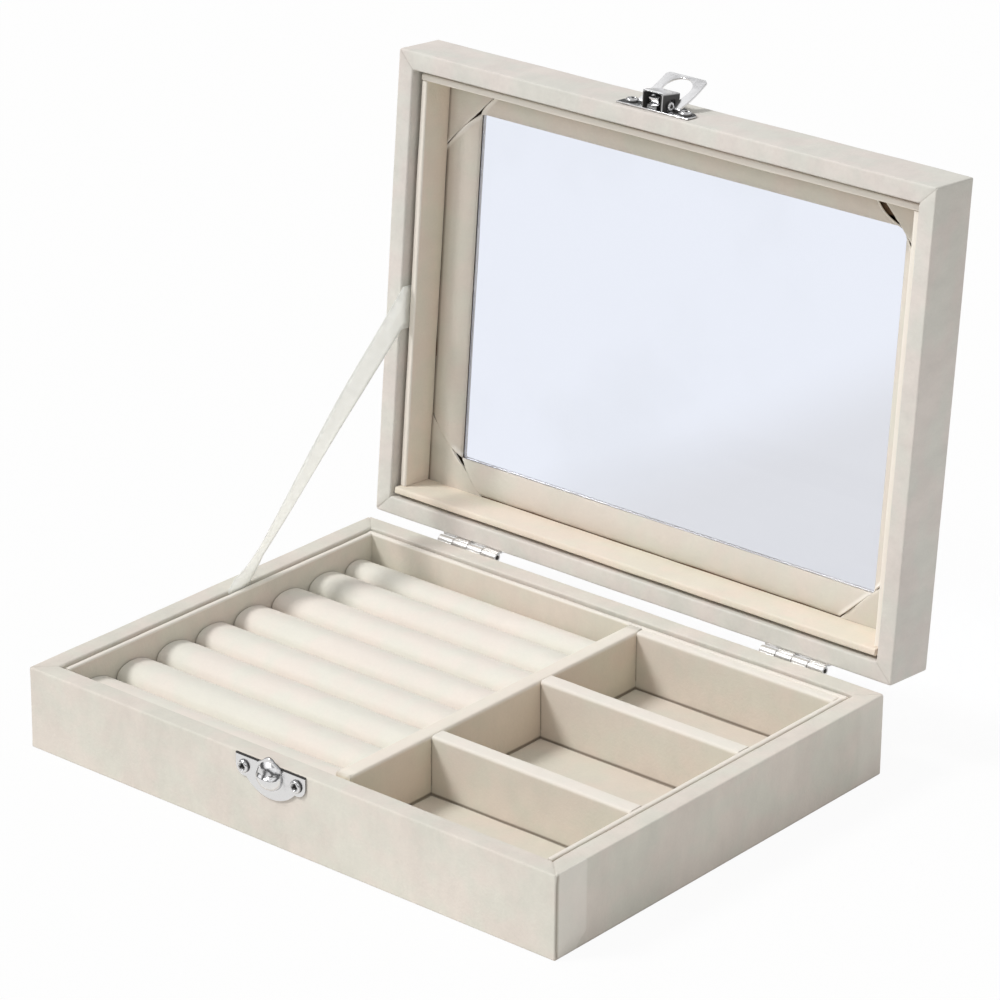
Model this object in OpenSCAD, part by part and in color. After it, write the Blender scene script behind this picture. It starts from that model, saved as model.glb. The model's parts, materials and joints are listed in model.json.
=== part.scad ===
// Ring display box: a velvet-covered tray with ring rolls and three compartments,
// and a hinged lid with a window. The lid stands open against its stay ribbon.
// X runs along the width, -Y is the front and Z is up. The origin is the centre of the underside.

/* [Box] */
// Width of the box
box_w = 200; // [170:1:260]
// Depth of the box, front to back
box_d = 150; // [145:1:180]
// Height of the tray
base_h = 26; // [24:0.5:34]
// Height of the lid
lid_h = 18.4; // [17:0.1:26]
// Gap between the tray and the shut lid
lid_gap = 0.6; // [0.5:0.1:1]
// Angle between the shut lid and the open lid
lid_open = 94.4; // [80:0.1:105]

/* [Boards and covering] */
// Thickness of the tray's wall boards
board_t = 5.5; // [4:0.1:7]
// Thickness of the lid's wall boards
lid_board_t = 4.8; // [4:0.1:6]
// Thickness of the tray's bottom board
bottom_t = 2.5; // [2:0.1:4]
// Thickness of the velvet covering
cover_t = 0.5; // [0.4:0.1:0.8]
// Height of the covering that is turned in over the rim of the tray
turn_in = 12; // [6:1:16]
// Height of the covering that is turned in over the rim of the lid
lid_turn_in = 8; // [4:1:10]
// Width of the covering that is turned under the tray
turn_under = 8; // [5:1:14]
// Clearance between the turned covering and the underside sheet
sheet_clear = 0.3; // [0.2:0.1:1]

/* [Liners] */
// Width of the slot between a tray wall and its liner
liner_gap = 1; // [0.8:0.1:1.6]
// Thickness of a tray liner
liner_t = 1.8; // [1.2:0.1:2.4]
// Height of the tray rim above the side and back liners
liner_drop = 0.5; // [0.2:0.1:2]
// Height of the tray rim above the front liner
front_liner_drop = 2.6; // [0.4:0.1:4]
// Width of the slot between a lid wall and its liner
lid_liner_gap = 1.2; // [0.8:0.1:1.6]
// Thickness of a lid liner
lid_liner_t = 2.2; // [1.2:0.1:2.6]
// Depth of the lid liners below the lid's rim
lid_liner_drop = 3; // [1:0.1:5]
// Depth of the liner at the hinges below the lid's rim
lid_back_liner_drop = 0.6; // [0.4:0.1:5]

/* [Compartments] */
// Thickness of a divider
divider_t = 5.6; // [3:0.1:7]
// Radius of a divider's top edges
divider_round = 0.9; // [0.3:0.1:1.4]
// Height of the tray rim above the dividers
divider_drop = 0.6; // [0.3:0.1:3]
// Width of the compartments
compartments_w = 72.4; // [56:0.1:84]
// Depth of the front compartment, front to back
front_compartment_d = 34.2; // [26:0.1:42]
// Depth of the rear compartment, front to back
rear_compartment_d = 39.2; // [30:0.1:46]
// Thickness of the padded board at the back of the compartments
back_pad_t = 3.7; // [2:0.1:5]
// Thickness of a compartment's floor pad
floor_pad_t = 4.2; // [2:0.1:6]
// Clearance around a floor pad
pad_clear = 0.5; // [0.3:0.1:1]

/* [Ring rolls] */
// Number of ring rolls
roll_count = 8; // [6:1:8]
// How much narrower than the others the last roll is, where it is squeezed against the back
last_roll_narrow = 3.6; // [0:0.1:6]
// Height of the ring rolls above the underside
roll_top = 19.6; // [17:0.1:22]
// Drop of the last roll below the others
last_roll_drop = 0.5; // [0:0.1:2]
// Thickness of the card under the rolls
bay_card_t = 1; // [0.8:0.1:2]
// Clearance between a roll and its neighbours
roll_clear = 0.3; // [0.2:0.1:0.6]

/* [Window] */
// Width of the lid's frame at each side of the window
window_side = 20.3; // [18:0.1:28]
// Distance of the window's middle to the right of the lid's middle
window_shift = 0.9; // [-2:0.1:2]
// Width of the lid's frame at the front and back of the window
window_end = 19.1; // [17:0.1:26]
// Thickness of the lid's top board
top_board_t = 3; // [2.6:0.1:5]
// Thickness of the lip that the glass rests on
lip_t = 0.5; // [0.4:0.1:1.2]
// Thickness of the glass
glass_t = 1; // [0.8:0.1:1.4]
// Width of glass that is held behind the lip
glass_hold = 3; // [2:0.1:5]
// Clearance around the glass
glass_clear = 0.3; // [0.2:0.1:0.5]
// Thickness of a window flap on the top board
flap_t = 1; // [0.6:0.1:1.4]
// Thickness of a window flap at the glass and at its liner
flap_edge_t = 0.3; // [0.3:0.1:0.6]
// Width of the sloping edge of a window flap beside its liner
flap_slope = 2.5; // [1:0.1:4]
// Width of the slit between a window flap and a corner pad
slit_w = 0.7; // [0.4:0.1:1.5]

/* [Hinges] */
// Distance from the left side of the box to the middle of the left hinge
left_hinge_inset = 39.8; // [30:0.1:60]
// Distance from the right side of the box to the middle of the right hinge
right_hinge_inset = 34.3; // [30:0.1:60]
// Width of a hinge
hinge_w = 23.5; // [18:0.5:30]
// Distance of the hinge pin behind the back of the tray
pin_back = 1.82; // [1.75:0.01:3]
// Drop of the hinge pin below the tray's rim
pin_drop = 0.35; // [0.1:0.05:0.6]
// Diameter of a hinge knuckle
knuckle_d = 2.8; // [2.6:0.1:3.2]
// Number of knuckles on a hinge
knuckle_count = 4; // [4:2:6]
// Clearance between two knuckles
knuckle_clear = 0.2; // [0.1:0.05:0.4]
// Diameter of a hinge pin
hinge_pin_d = 1.4; // [1:0.1:1.8]
// Thickness of a hinge leaf
leaf_t = 0.8; // [0.5:0.1:1]
// Height of a hinge leaf from the pin
leaf_h = 9.5; // [8:0.1:12]
// Distance of the nails from the pin
nail_out = 5.8; // [4.5:0.1:6.5]
// Distance of the nails from the middle of the hinge
nail_spread = 8; // [5:0.1:8]
// Diameter of a nail's shank
nail_d = 1; // [0.8:0.1:1.4]
// Diameter of a nail's head
nail_head_d = 2.2; // [1.8:0.1:3]
// Length of a nail under its head
nail_len = 4.5; // [3:0.1:5]

/* [Catch and latch] */
// Place of the catch and the latch along the width
latch_x = -3.2; // [-10:0.1:10]
// Width of the crescent plates
crescent_w = 26.5; // [25:0.1:30]
// Height of the crescent plates
crescent_h = 10.8; // [10:0.1:13]
// Height of the crescent's centre beyond its straight edge
crescent_rise = 1.5; // [0.5:0.1:3]
// Thickness of the crescent plates
plate_t = 0.6; // [0.5:0.1:0.8]
// Distance from the tray's rim to the catch plate
catch_edge = 0.3; // [0.2:0.1:1]
// Distance from the lid's rim to the latch plate
latch_edge = 1.8; // [1.2:0.1:2.5]
// Distance of the plate screws from the middle
screw_spread = 10; // [9.6:0.1:10.4]
// Distance of the plate screws from the straight edge
screw_inset = 3.5; // [3:0.1:4]
// Diameter of a plate screw's shank
screw_d = 1.8; // [1.4:0.1:2.2]
// Diameter of a plate screw's head
screw_head_d = 4; // [3.4:0.1:4.4]
// Height of a plate screw's head
screw_head_h = 1.1; // [0.8:0.1:1.4]
// Length of a plate screw under its head
screw_len = 4.6; // [3:0.1:4.8]
// Radius of the catch nose where it leaves the plate
nose_r = 5; // [4.4:0.1:5.2]
// Height of the catch nose
nose_h = 3.4; // [3.2:0.1:4]
// Distance of the nose's centre from the straight edge
nose_inset = 3.3; // [3:0.1:3.6]
// Width of the tongue above the nose
tongue_w = 5; // [3:0.1:6]
// Height of the tongue above the catch plate
tongue_h = 2.3; // [1:0.1:2.4]
// Thickness of the tongue
tongue_t = 0.8; // [0.6:0.1:1]

/* [Latch housing and flap] */
// Width of the latch housing
housing_w = 7.6; // [6:0.1:8]
// Length of the latch housing
housing_len = 10.6; // [9:0.1:10.6]
// Height of the latch housing above its plate
housing_h = 4.5; // [4:0.1:6]
// Thickness of the housing's walls
housing_t = 0.7; // [0.5:0.1:1]
// Distance from the plate's straight edge to the housing
housing_inset = 0.4; // [0.1:0.1:0.8]
// Width of the arched opening in the housing's sides
arch_w = 3.4; // [2:0.1:4]
// Distance from the flap's pin to the arched opening
arch_out = 4; // [3.6:0.1:4.4]
// Distance of the flap's pin from the lid's rim
flap_pin_up = 5; // [4.6:0.1:5.6]
// Distance of the flap's pin from the front of the lid
flap_pin_out = 2; // [2:0.1:2.4]
// Diameter of the flap's pin
flap_pin_d = 1.2; // [1:0.1:1.4]
// Radius of the eyes at the end of the flap's legs
eye_r = 1.25; // [1:0.05:1.3]
// Thickness of the eyes
eye_t = 0.9; // [0.6:0.1:1.2]
// Clearance between an eye and the housing
eye_clear = 0.3; // [0.2:0.05:0.4]
// Length of the flap from its pin
flap_len = 15; // [14.4:0.1:16]
// Thickness of the flap
flap_plate_t = 0.7; // [0.5:0.1:1]
// Distance of the flap's plate from its pin, outwards when it is shut
flap_offset = 0.5; // [0.4:0.1:0.8]
// Width of the flap at its free end
flap_end_w = 13.6; // [13:0.1:15]
// Width of the flap at its pin
flap_pin_w = 15.6; // [15:0.1:17]
// Width of the arched window in the flap
flap_window_w = 8.6; // [8.4:0.1:9]
// Width of the bar at the flap's free end
flap_bar = 1.8; // [1.4:0.1:2.4]
// Angle that the flap turns through from shut to its rest
flap_swing = 155; // [120:1:160]

/* [Stay ribbon] */
// Width of the ribbon
ribbon_w = 9; // [6:0.1:12]
// Thickness of the ribbon
ribbon_t = 0.3; // [0.2:0.05:0.5]
// Distance along the rims from the hinge pin to the middle of the ribbon
ribbon_out = 70; // [50:0.5:90]
// Depth of the ribbon's ends in their slots
ribbon_tail = 9; // [6:0.5:12]

/* [Fits] */
// Radial clearance of a pin, screw or nail in its hole
fit = 0.05; // [0.02:0.01:0.08]
// Depth of a hole beyond the end of its screw or nail
hole_spare = 0.3; // [0.1:0.1:0.5]

/* [Hidden] */
$fn = 48;
over = 0.5;                             // how far a cut runs past the face it opens

// Tray levels and inner faces
wall_t = board_t + 2 * cover_t;
floor_z = cover_t + bottom_t;
board_top = base_h - cover_t;
in_x = box_w / 2 - wall_t;              // inner face of a side wall
in_y = box_d / 2 - wall_t;              // inner face of the front or back wall
liner_out_x = in_x - liner_gap;
liner_out_y = in_y - liner_gap;
liner_in_x = liner_out_x - liner_t;
liner_in_y = liner_out_y - liner_t;
divider_top = base_h - divider_drop;
divider_right = liner_in_x - compartments_w;
divider_left = divider_right - divider_t;
back_pad_y = liner_in_y - back_pad_t;
front_divider_y = -liner_in_y + front_compartment_d + divider_t / 2;
rear_divider_y = back_pad_y - rear_compartment_d - divider_t / 2;
roll_floor = floor_z + bay_card_t;
roll_w = (2 * liner_in_y + last_roll_narrow) / roll_count;

// Lid levels and inner faces, with the lid shut
lid_rim = base_h + lid_gap;
lid_top = lid_rim + lid_h;
lid_wall_t = lid_board_t + 2 * cover_t;
lid_in_x = box_w / 2 - lid_wall_t;
lid_in_y = box_d / 2 - lid_wall_t;
lid_liner_out_x = lid_in_x - lid_liner_gap;
lid_liner_out_y = lid_in_y - lid_liner_gap;
lid_liner_in_x = lid_liner_out_x - lid_liner_t;
lid_liner_in_y = lid_liner_out_y - lid_liner_t;
top_board_z1 = lid_top - cover_t;
top_board_z0 = top_board_z1 - top_board_t;
glass_z1 = top_board_z1 - lip_t;
glass_z0 = glass_z1 - glass_t;
window_x = box_w / 2 - window_side;     // edge of the glass that shows
window_y = box_d / 2 - window_end;
slit_sum = window_side + window_end;    // a slit joins points whose distances from both edges add to this

// Hinge and latch places, with the lid shut
left_hinge_x = -box_w / 2 + left_hinge_inset;
right_hinge_x = box_w / 2 - right_hinge_inset;
hinge_y = box_d / 2 + pin_back;
hinge_z = base_h - pin_drop;
face_y = -box_d / 2;                    // front face of the tray and of the shut lid
catch_z = base_h - catch_edge;
latch_z = lid_rim + latch_edge;
flap_pin_y = face_y - flap_pin_out;
flap_pin_z = lid_rim + flap_pin_up;
lobe_r = crescent_w / 2 - screw_spread;

// A block given by its lowest and highest corners
module block(low, high) {
    translate(low) cube(high - low);
}

// A rectangular ring of wall thickness t, from z0 to z1
module ring(w, d, t, z0, z1) {
    difference() {
        block([-w / 2, -d / 2, z0], [w / 2, d / 2, z1]);
        block([-w / 2 + t, -d / 2 + t, z0 - over], [w / 2 - t, d / 2 - t, z1 + over]);
    }
}

// Turns the shut lid to its rest
module opened() {
    translate([0, hinge_y, hinge_z]) rotate([-lid_open, 0, 0])
        translate([0, -hinge_y, -hinge_z]) children();
}

// An outline drawn in Y and Z, extruded along X
module along_x(x0, x1) {
    translate([x0, 0, 0]) rotate([90, 0, 90]) linear_extrude(x1 - x0) children();
}

// An outline drawn in X and Z, extruded forwards from the plane at y
module forwards(y, depth) {
    translate([0, y, 0]) rotate([90, 0, 0]) linear_extrude(depth) children();
}

// Fasteners: the origin is under the head, and +Z points out of the head
module dome(d, h) {
    dome_r = (d * d / 4 + h * h) / (2 * h);
    intersection() {
        translate([0, 0, h - dome_r]) sphere(r = dome_r);
        cylinder(d = d, h = h);
    }
}
module screw() {
    slot_w = screw_head_d / 7;
    slot_depth = screw_head_h / 2;
    difference() {
        dome(screw_head_d, screw_head_h);
        for (turn = [0, 90]) rotate([0, 0, turn])
            translate([-screw_head_d / 3, -slot_w / 2, screw_head_h - slot_depth])
                cube([screw_head_d / 1.5, slot_w, screw_head_h]);
    }
    translate([0, 0, -screw_len]) cylinder(d = screw_d, h = screw_len);
}
module nail() {
    dome(nail_head_d, nail_head_d / 4);
    translate([0, 0, -nail_len]) cylinder(d = nail_d, h = nail_len);
}
module screw_hole() {
    translate([0, 0, -screw_len - hole_spare])
        cylinder(d = screw_d + 2 * fit, h = screw_len + hole_spare + over);
}
module nail_hole() {
    translate([0, 0, -nail_len - hole_spare])
        cylinder(d = nail_d + 2 * fit, h = nail_len + hole_spare + over);
}

// Puts its children at the screws of the catch or latch plate, heads to the front
module at_plate_screws(z) {
    for (side = [-1, 1])
        translate([latch_x + side * screw_spread, face_y - plate_t, z]) rotate([90, 0, 0]) children();
}
// Puts its children at the nails of a leaf of both hinges, heads to the back
module at_nails(side_z) {
    for (hinge_x = [left_hinge_x, right_hinge_x], side = [-1, 1])
        translate([hinge_x + side * nail_spread, box_d / 2 + leaf_t, hinge_z + side_z * nail_out])
            rotate([-90, 0, 0]) children();
}
module catch_holes() at_plate_screws(catch_z - screw_inset) screw_hole();
module latch_holes() at_plate_screws(latch_z + screw_inset) screw_hole();

// ---- Tray ----
module base_front_wall() color("burlywood") difference() {
    block([-box_w / 2 + cover_t, -box_d / 2 + cover_t, floor_z],
        [box_w / 2 - cover_t, -in_y - cover_t, board_top]);
    catch_holes();
}
module base_back_wall() color("burlywood") difference() {
    block([-box_w / 2 + cover_t, in_y + cover_t, floor_z],
        [box_w / 2 - cover_t, box_d / 2 - cover_t, board_top]);
    at_nails(-1) nail_hole();
}
module base_side_wall(side) {
    x0 = in_x + cover_t;
    translate([side * (x0 + board_t / 2), 0, (floor_z + board_top) / 2])
        cube([board_t, 2 * (in_y + cover_t), board_top - floor_z], center = true);
}
module base_left_wall() color("burlywood") base_side_wall(-1);
module base_right_wall() color("burlywood") base_side_wall(1);
module base_bottom_board() color("burlywood")
    block([-box_w / 2 + cover_t, -box_d / 2 + cover_t, cover_t],
        [box_w / 2 - cover_t, box_d / 2 - cover_t, floor_z]);
module base_cover() color("linen") difference() {
    union() {
        ring(box_w, box_d, cover_t, 0, base_h);
        ring(box_w, box_d, wall_t, board_top, base_h);
        ring(2 * (in_x + cover_t), 2 * (in_y + cover_t), cover_t, base_h - turn_in, base_h);
        ring(box_w, box_d, turn_under, 0, cover_t);
    }
    catch_holes();
    at_nails(-1) nail_hole();
}
module underside_sheet() color("ivory") {
    edge = turn_under + sheet_clear;
    block([-box_w / 2 + edge, -box_d / 2 + edge, 0], [box_w / 2 - edge, box_d / 2 - edge, cover_t]);
}
module base_front_liner() color("bisque")
    block([-liner_in_x, -liner_out_y, floor_z], [liner_in_x, -liner_in_y, base_h - front_liner_drop]);
module base_back_liner() color("bisque")
    block([-liner_out_x, liner_in_y, floor_z], [liner_out_x, liner_out_y, base_h - liner_drop]);
module base_left_liner() color("bisque")
    block([-liner_out_x, -liner_out_y, floor_z], [-liner_in_x, liner_in_y, base_h - liner_drop]);
module base_right_liner() color("bisque")
    block([liner_in_x, -liner_out_y, floor_z], [liner_out_x, liner_in_y, base_h - liner_drop]);

// A divider's end view, with rounded top edges
module divider_outline(middle) {
    half = divider_t / 2;
    flat = half - divider_round;
    translate([middle - half, floor_z]) square([divider_t, divider_top - divider_round - floor_z]);
    translate([middle - flat, floor_z]) square([2 * flat, divider_top - floor_z]);
    for (side = [-1, 1])
        translate([middle + side * flat, divider_top - divider_round]) circle(r = divider_round);
}
module long_divider() color("bisque")
    translate([0, liner_in_y, 0]) rotate([90, 0, 0])
        linear_extrude(2 * liner_in_y) divider_outline((divider_left + divider_right) / 2);
module front_cross_divider() color("bisque")
    along_x(divider_right, liner_in_x) divider_outline(front_divider_y);
module rear_cross_divider() color("bisque")
    along_x(divider_right, liner_in_x) divider_outline(rear_divider_y);
module compartment_back_pad() color("bisque")
    block([divider_right, back_pad_y, floor_z], [liner_in_x, liner_in_y, divider_top]);

// A floor pad between the faces at y0 and y1
module floor_pad(y0, y1) {
    block([divider_right + pad_clear, y0 + pad_clear, floor_z],
        [liner_in_x - pad_clear, y1 - pad_clear, floor_z + floor_pad_t]);
}
module front_floor_pad() color("antiquewhite")
    floor_pad(-liner_in_y, front_divider_y - divider_t / 2);
module middle_floor_pad() color("antiquewhite")
    floor_pad(front_divider_y + divider_t / 2, rear_divider_y - divider_t / 2);
module rear_floor_pad() color("antiquewhite")
    floor_pad(rear_divider_y + divider_t / 2, back_pad_y);
module roll_bay_card() color("antiquewhite")
    block([-liner_in_x, -liner_in_y, floor_z], [divider_left, liner_in_y, roll_floor]);

// Ring roll number i, counted from the front; the last one takes the room that is left
module ring_roll(i) {
    last = i >= roll_count;
    y0 = -liner_in_y + (i - 1) * roll_w;
    y1 = last ? liner_in_y : y0 + roll_w;
    top = roll_top - (last ? last_roll_drop : 0);
    r = (y1 - y0 - roll_clear) / 2;
    if (i <= roll_count)
        color("ivory") along_x(-liner_in_x + roll_clear, divider_left - roll_clear) intersection() {
            union() {
                translate([(y0 + y1) / 2 - r, roll_floor]) square([2 * r, top - r - roll_floor]);
                translate([(y0 + y1) / 2, top - r]) circle(r = r);
            }
            translate([y0, roll_floor]) square([y1 - y0, top - roll_floor]);
        }
}

// ---- Lid, drawn shut ----
module lid_front_wall() color("burlywood") opened() difference() {
    block([-box_w / 2 + cover_t, -box_d / 2 + cover_t, lid_rim + cover_t],
        [box_w / 2 - cover_t, -lid_in_y - cover_t, top_board_z0]);
    latch_holes();
}
module lid_back_wall() color("burlywood") opened() difference() {
    block([-box_w / 2 + cover_t, lid_in_y + cover_t, lid_rim + cover_t],
        [box_w / 2 - cover_t, box_d / 2 - cover_t, top_board_z0]);
    at_nails(1) nail_hole();
}
module lid_side_wall(side) {
    x0 = lid_in_x + cover_t;
    z0 = lid_rim + cover_t;
    translate([side * (x0 + lid_board_t / 2), 0, (z0 + top_board_z0) / 2])
        cube([lid_board_t, 2 * (lid_in_y + cover_t), top_board_z0 - z0], center = true);
}
module lid_left_wall() color("burlywood") opened() lid_side_wall(-1);
module lid_right_wall() color("burlywood") opened() lid_side_wall(1);
// Puts its children at the middle of the window
module at_window() translate([window_shift, 0, 0]) children();
module lid_top_board() color("burlywood") opened() difference() {
    block([-box_w / 2 + cover_t, -box_d / 2 + cover_t, top_board_z0],
        [box_w / 2 - cover_t, box_d / 2 - cover_t, top_board_z1]);
    at_window() {
        block([-window_x, -window_y, top_board_z0 - over], [window_x, window_y, top_board_z1 + over]);
        block([-window_x - glass_hold, -window_y - glass_hold, top_board_z0 - over],
            [window_x + glass_hold, window_y + glass_hold, glass_z1]);
    }
}
module lid_cover() color("linen") opened() difference() {
    union() {
        ring(box_w, box_d, cover_t, lid_rim, lid_top);
        ring(box_w, box_d, lid_wall_t, lid_rim, lid_rim + cover_t);
        ring(2 * (lid_in_x + cover_t), 2 * (lid_in_y + cover_t), cover_t, lid_rim, lid_rim + lid_turn_in);
        difference() {
            block([-box_w / 2, -box_d / 2, top_board_z1], [box_w / 2, box_d / 2, lid_top]);
            at_window()
                block([-window_x, -window_y, top_board_z1 - over], [window_x, window_y, lid_top + over]);
        }
    }
    latch_holes();
    at_nails(1) nail_hole();
}
lid_liner_z0 = lid_rim + lid_liner_drop;
module lid_front_liner() color("bisque") opened()
    block([-lid_liner_out_x, -lid_liner_out_y, lid_liner_z0],
        [lid_liner_out_x, -lid_liner_in_y, top_board_z0]);
module lid_back_liner() color("bisque") opened()
    block([-lid_liner_out_x, lid_liner_in_y, lid_rim + lid_back_liner_drop],
        [lid_liner_out_x, lid_liner_out_y, top_board_z0]);
module lid_left_liner() color("bisque") opened()
    block([-lid_liner_out_x, -lid_liner_in_y, lid_liner_z0], [-lid_liner_in_x, lid_liner_in_y, top_board_z0]);
module lid_right_liner() color("bisque") opened()
    block([lid_liner_in_x, -lid_liner_in_y, lid_liner_z0], [lid_liner_out_x, lid_liner_in_y, top_board_z0]);
module window_glass() color("lightcyan", 0.5) opened() at_window() {
    x1 = window_x + glass_hold - glass_clear;
    y1 = window_y + glass_hold - glass_clear;
    block([-x1, -y1, glass_z0], [x1, y1, glass_z1]);
}

// Keeps or removes what lies in the four corners beyond the slits
module corner_cut(sum) {
    for (sx = [-1, 1], sy = [-1, 1])
        translate([0, 0, lid_rim]) linear_extrude(lid_h)
            polygon([
                [sx * box_w / 2, sy * box_d / 2],
                [sx * (box_w / 2 - sum), sy * box_d / 2],
                [sx * box_w / 2, sy * (box_d / 2 - sum)]
            ]);
}
// End view of a window flap: out is its liner face and edge is its end at the glass
module flap_outline(out, edge) {
    seat = edge + glass_hold - glass_clear;
    polygon([
        [out, top_board_z0], [out, top_board_z0 - flap_edge_t], [out - flap_slope, top_board_z0 - flap_t],
        [edge + glass_hold, top_board_z0 - flap_t],
        [edge, glass_z0 - flap_edge_t], [edge, glass_z0], [seat, glass_z0], [seat, top_board_z0]
    ]);
}
module window_side_flap(side) {
    opened() mirror([side > 0 ? 0 : 1, 0, 0]) difference() {
        translate([0, lid_liner_in_y, 0]) rotate([90, 0, 0])
            linear_extrude(2 * lid_liner_in_y) flap_outline(lid_liner_in_x, window_x + side * window_shift);
        corner_cut(slit_sum + slit_w / 2);
    }
}
module window_end_flap(side) {
    opened() mirror([0, side > 0 ? 0 : 1, 0]) difference() {
        along_x(-lid_liner_in_x, lid_liner_in_x) flap_outline(lid_liner_in_y, window_y);
        corner_cut(slit_sum + slit_w / 2);
    }
}
module window_front_flap() color("linen") window_end_flap(-1);
module window_back_flap() color("linen") window_end_flap(1);
module window_left_flap() color("linen") window_side_flap(-1);
module window_right_flap() color("linen") window_side_flap(1);
module window_corner_pads() color("linen") opened() intersection() {
    block([-lid_liner_in_x, -lid_liner_in_y, top_board_z0 - flap_t],
        [lid_liner_in_x, lid_liner_in_y, top_board_z0]);
    corner_cut(slit_sum - slit_w / 2);
}

// ---- Hinges ----
// One leaf of a hinge at hinge_x: turn is 0 for the leaf below the pin and 1 for the one above it
module hinge_leaf(hinge_x, turn) {
    knuckle_w = hinge_w / knuckle_count;
    knuckle_r = knuckle_d / 2;
    up = turn * 2 - 1;
    edge_z = hinge_z + up * (knuckle_r + knuckle_clear);
    end_z = hinge_z + up * leaf_h;
    leaf_y = box_d / 2;
    difference() {
        union() {
            block([hinge_x - hinge_w / 2, leaf_y, min(edge_z, end_z)],
                [hinge_x + hinge_w / 2, leaf_y + leaf_t, max(edge_z, end_z)]);
            for (k = [turn : 2 : knuckle_count - 1]) {
                x0 = hinge_x - hinge_w / 2 + k * knuckle_w + knuckle_clear / 2;
                x1 = x0 + knuckle_w - knuckle_clear;
                block([x0, leaf_y, min(hinge_z, edge_z) - over * (1 - turn)],
                    [x1, leaf_y + leaf_t, max(hinge_z, edge_z) + over * turn]);
                translate([x0, hinge_y, hinge_z]) rotate([0, 90, 0]) cylinder(d = knuckle_d, h = x1 - x0);
            }
        }
        translate([hinge_x - hinge_w / 2 - over, hinge_y, hinge_z]) rotate([0, 90, 0])
            cylinder(d = hinge_pin_d + 2 * fit, h = hinge_w + 2 * over);
        at_nails(up) nail_hole();
    }
}
module hinge_pin(hinge_x) {
    translate([hinge_x - hinge_w / 2, hinge_y, hinge_z]) rotate([0, 90, 0])
        cylinder(d = hinge_pin_d, h = hinge_w);
}
module left_hinge_base_leaf() color("silver") hinge_leaf(left_hinge_x, 0);
module left_hinge_lid_leaf() color("silver") opened() hinge_leaf(left_hinge_x, 1);
module left_hinge_pin() color("gray") hinge_pin(left_hinge_x);
module right_hinge_base_leaf() color("silver") hinge_leaf(right_hinge_x, 0);
module right_hinge_lid_leaf() color("silver") opened() hinge_leaf(right_hinge_x, 1);
module right_hinge_pin() color("gray") hinge_pin(right_hinge_x);
module base_hinge_nails() color("silver") at_nails(-1) nail();
module lid_hinge_nails() color("silver") opened() at_nails(1) nail();

// ---- Catch and latch ----
// A crescent below the line y = 0, with a straight-sided lobe around each screw
module crescent_outline() {
    intersection() {
        union() {
            translate([0, crescent_rise]) circle(r = crescent_h + crescent_rise);
            for (side = [-1, 1]) translate([side * screw_spread, -screw_inset]) {
                circle(r = lobe_r);
                translate([-lobe_r, 0]) square([2 * lobe_r, screw_inset]);
            }
        }
        translate([-crescent_w, -crescent_w]) square([2 * crescent_w, crescent_w]);
    }
}
module catch_plate() color("silver") difference() {
    union() {
        translate([latch_x, 0, catch_z]) forwards(face_y, plate_t) crescent_outline();
        translate([latch_x, face_y - plate_t, catch_z - nose_inset]) rotate([90, 0, 0])
            dome(2 * nose_r, nose_h - plate_t);
        translate([latch_x, 0, catch_z]) forwards(face_y - plate_t, tongue_t) {
            translate([-tongue_w / 2, -nose_inset]) square([tongue_w, nose_inset + tongue_h - tongue_w / 2]);
            translate([0, tongue_h - tongue_w / 2]) circle(d = tongue_w);
        }
    }
    catch_holes();
}
module catch_screws() color("silver") at_plate_screws(catch_z - screw_inset) screw();
module latch_plate() color("silver") opened() difference() {
    translate([latch_x, 0, latch_z]) mirror([0, 0, 1]) forwards(face_y, plate_t) crescent_outline();
    latch_holes();
}
module latch_screws() color("silver") opened() at_plate_screws(latch_z + screw_inset) screw();

// The pin's axis runs along X through the origin of its children
module at_flap_pin() {
    translate([latch_x, flap_pin_y, flap_pin_z]) rotate([0, 90, 0]) children();
}
module latch_housing() color("silver") opened() {
    z0 = latch_z + housing_inset;
    y1 = face_y - plate_t;
    arch_z = flap_pin_z + arch_out;
    arch_r = arch_w / 2;
    arch_top = housing_h - housing_t - arch_r;
    difference() {
        translate([latch_x, 0, 0])
            block([-housing_w / 2, y1 - housing_h, z0], [housing_w / 2, y1, z0 + housing_len]);
        translate([latch_x, 0, 0])
            block([-housing_w / 2 + housing_t, y1 - housing_h + housing_t, z0 + housing_t],
                [housing_w / 2 - housing_t, y1 + over, z0 + housing_len - housing_t]);
        translate([latch_x - housing_w, y1, arch_z]) rotate([0, 90, 0]) linear_extrude(2 * housing_w) {
            translate([-arch_r, -arch_top]) square([arch_w, arch_top + over]);
            translate([0, -arch_top]) circle(r = arch_r);
        }
        at_flap_pin() cylinder(d = flap_pin_d + 2 * fit, h = 2 * housing_w, center = true);
    }
}
module latch_pin() color("gray") opened()
    at_flap_pin() cylinder(d = flap_pin_d, h = housing_w + 2 * (eye_clear + eye_t), center = true);

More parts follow.
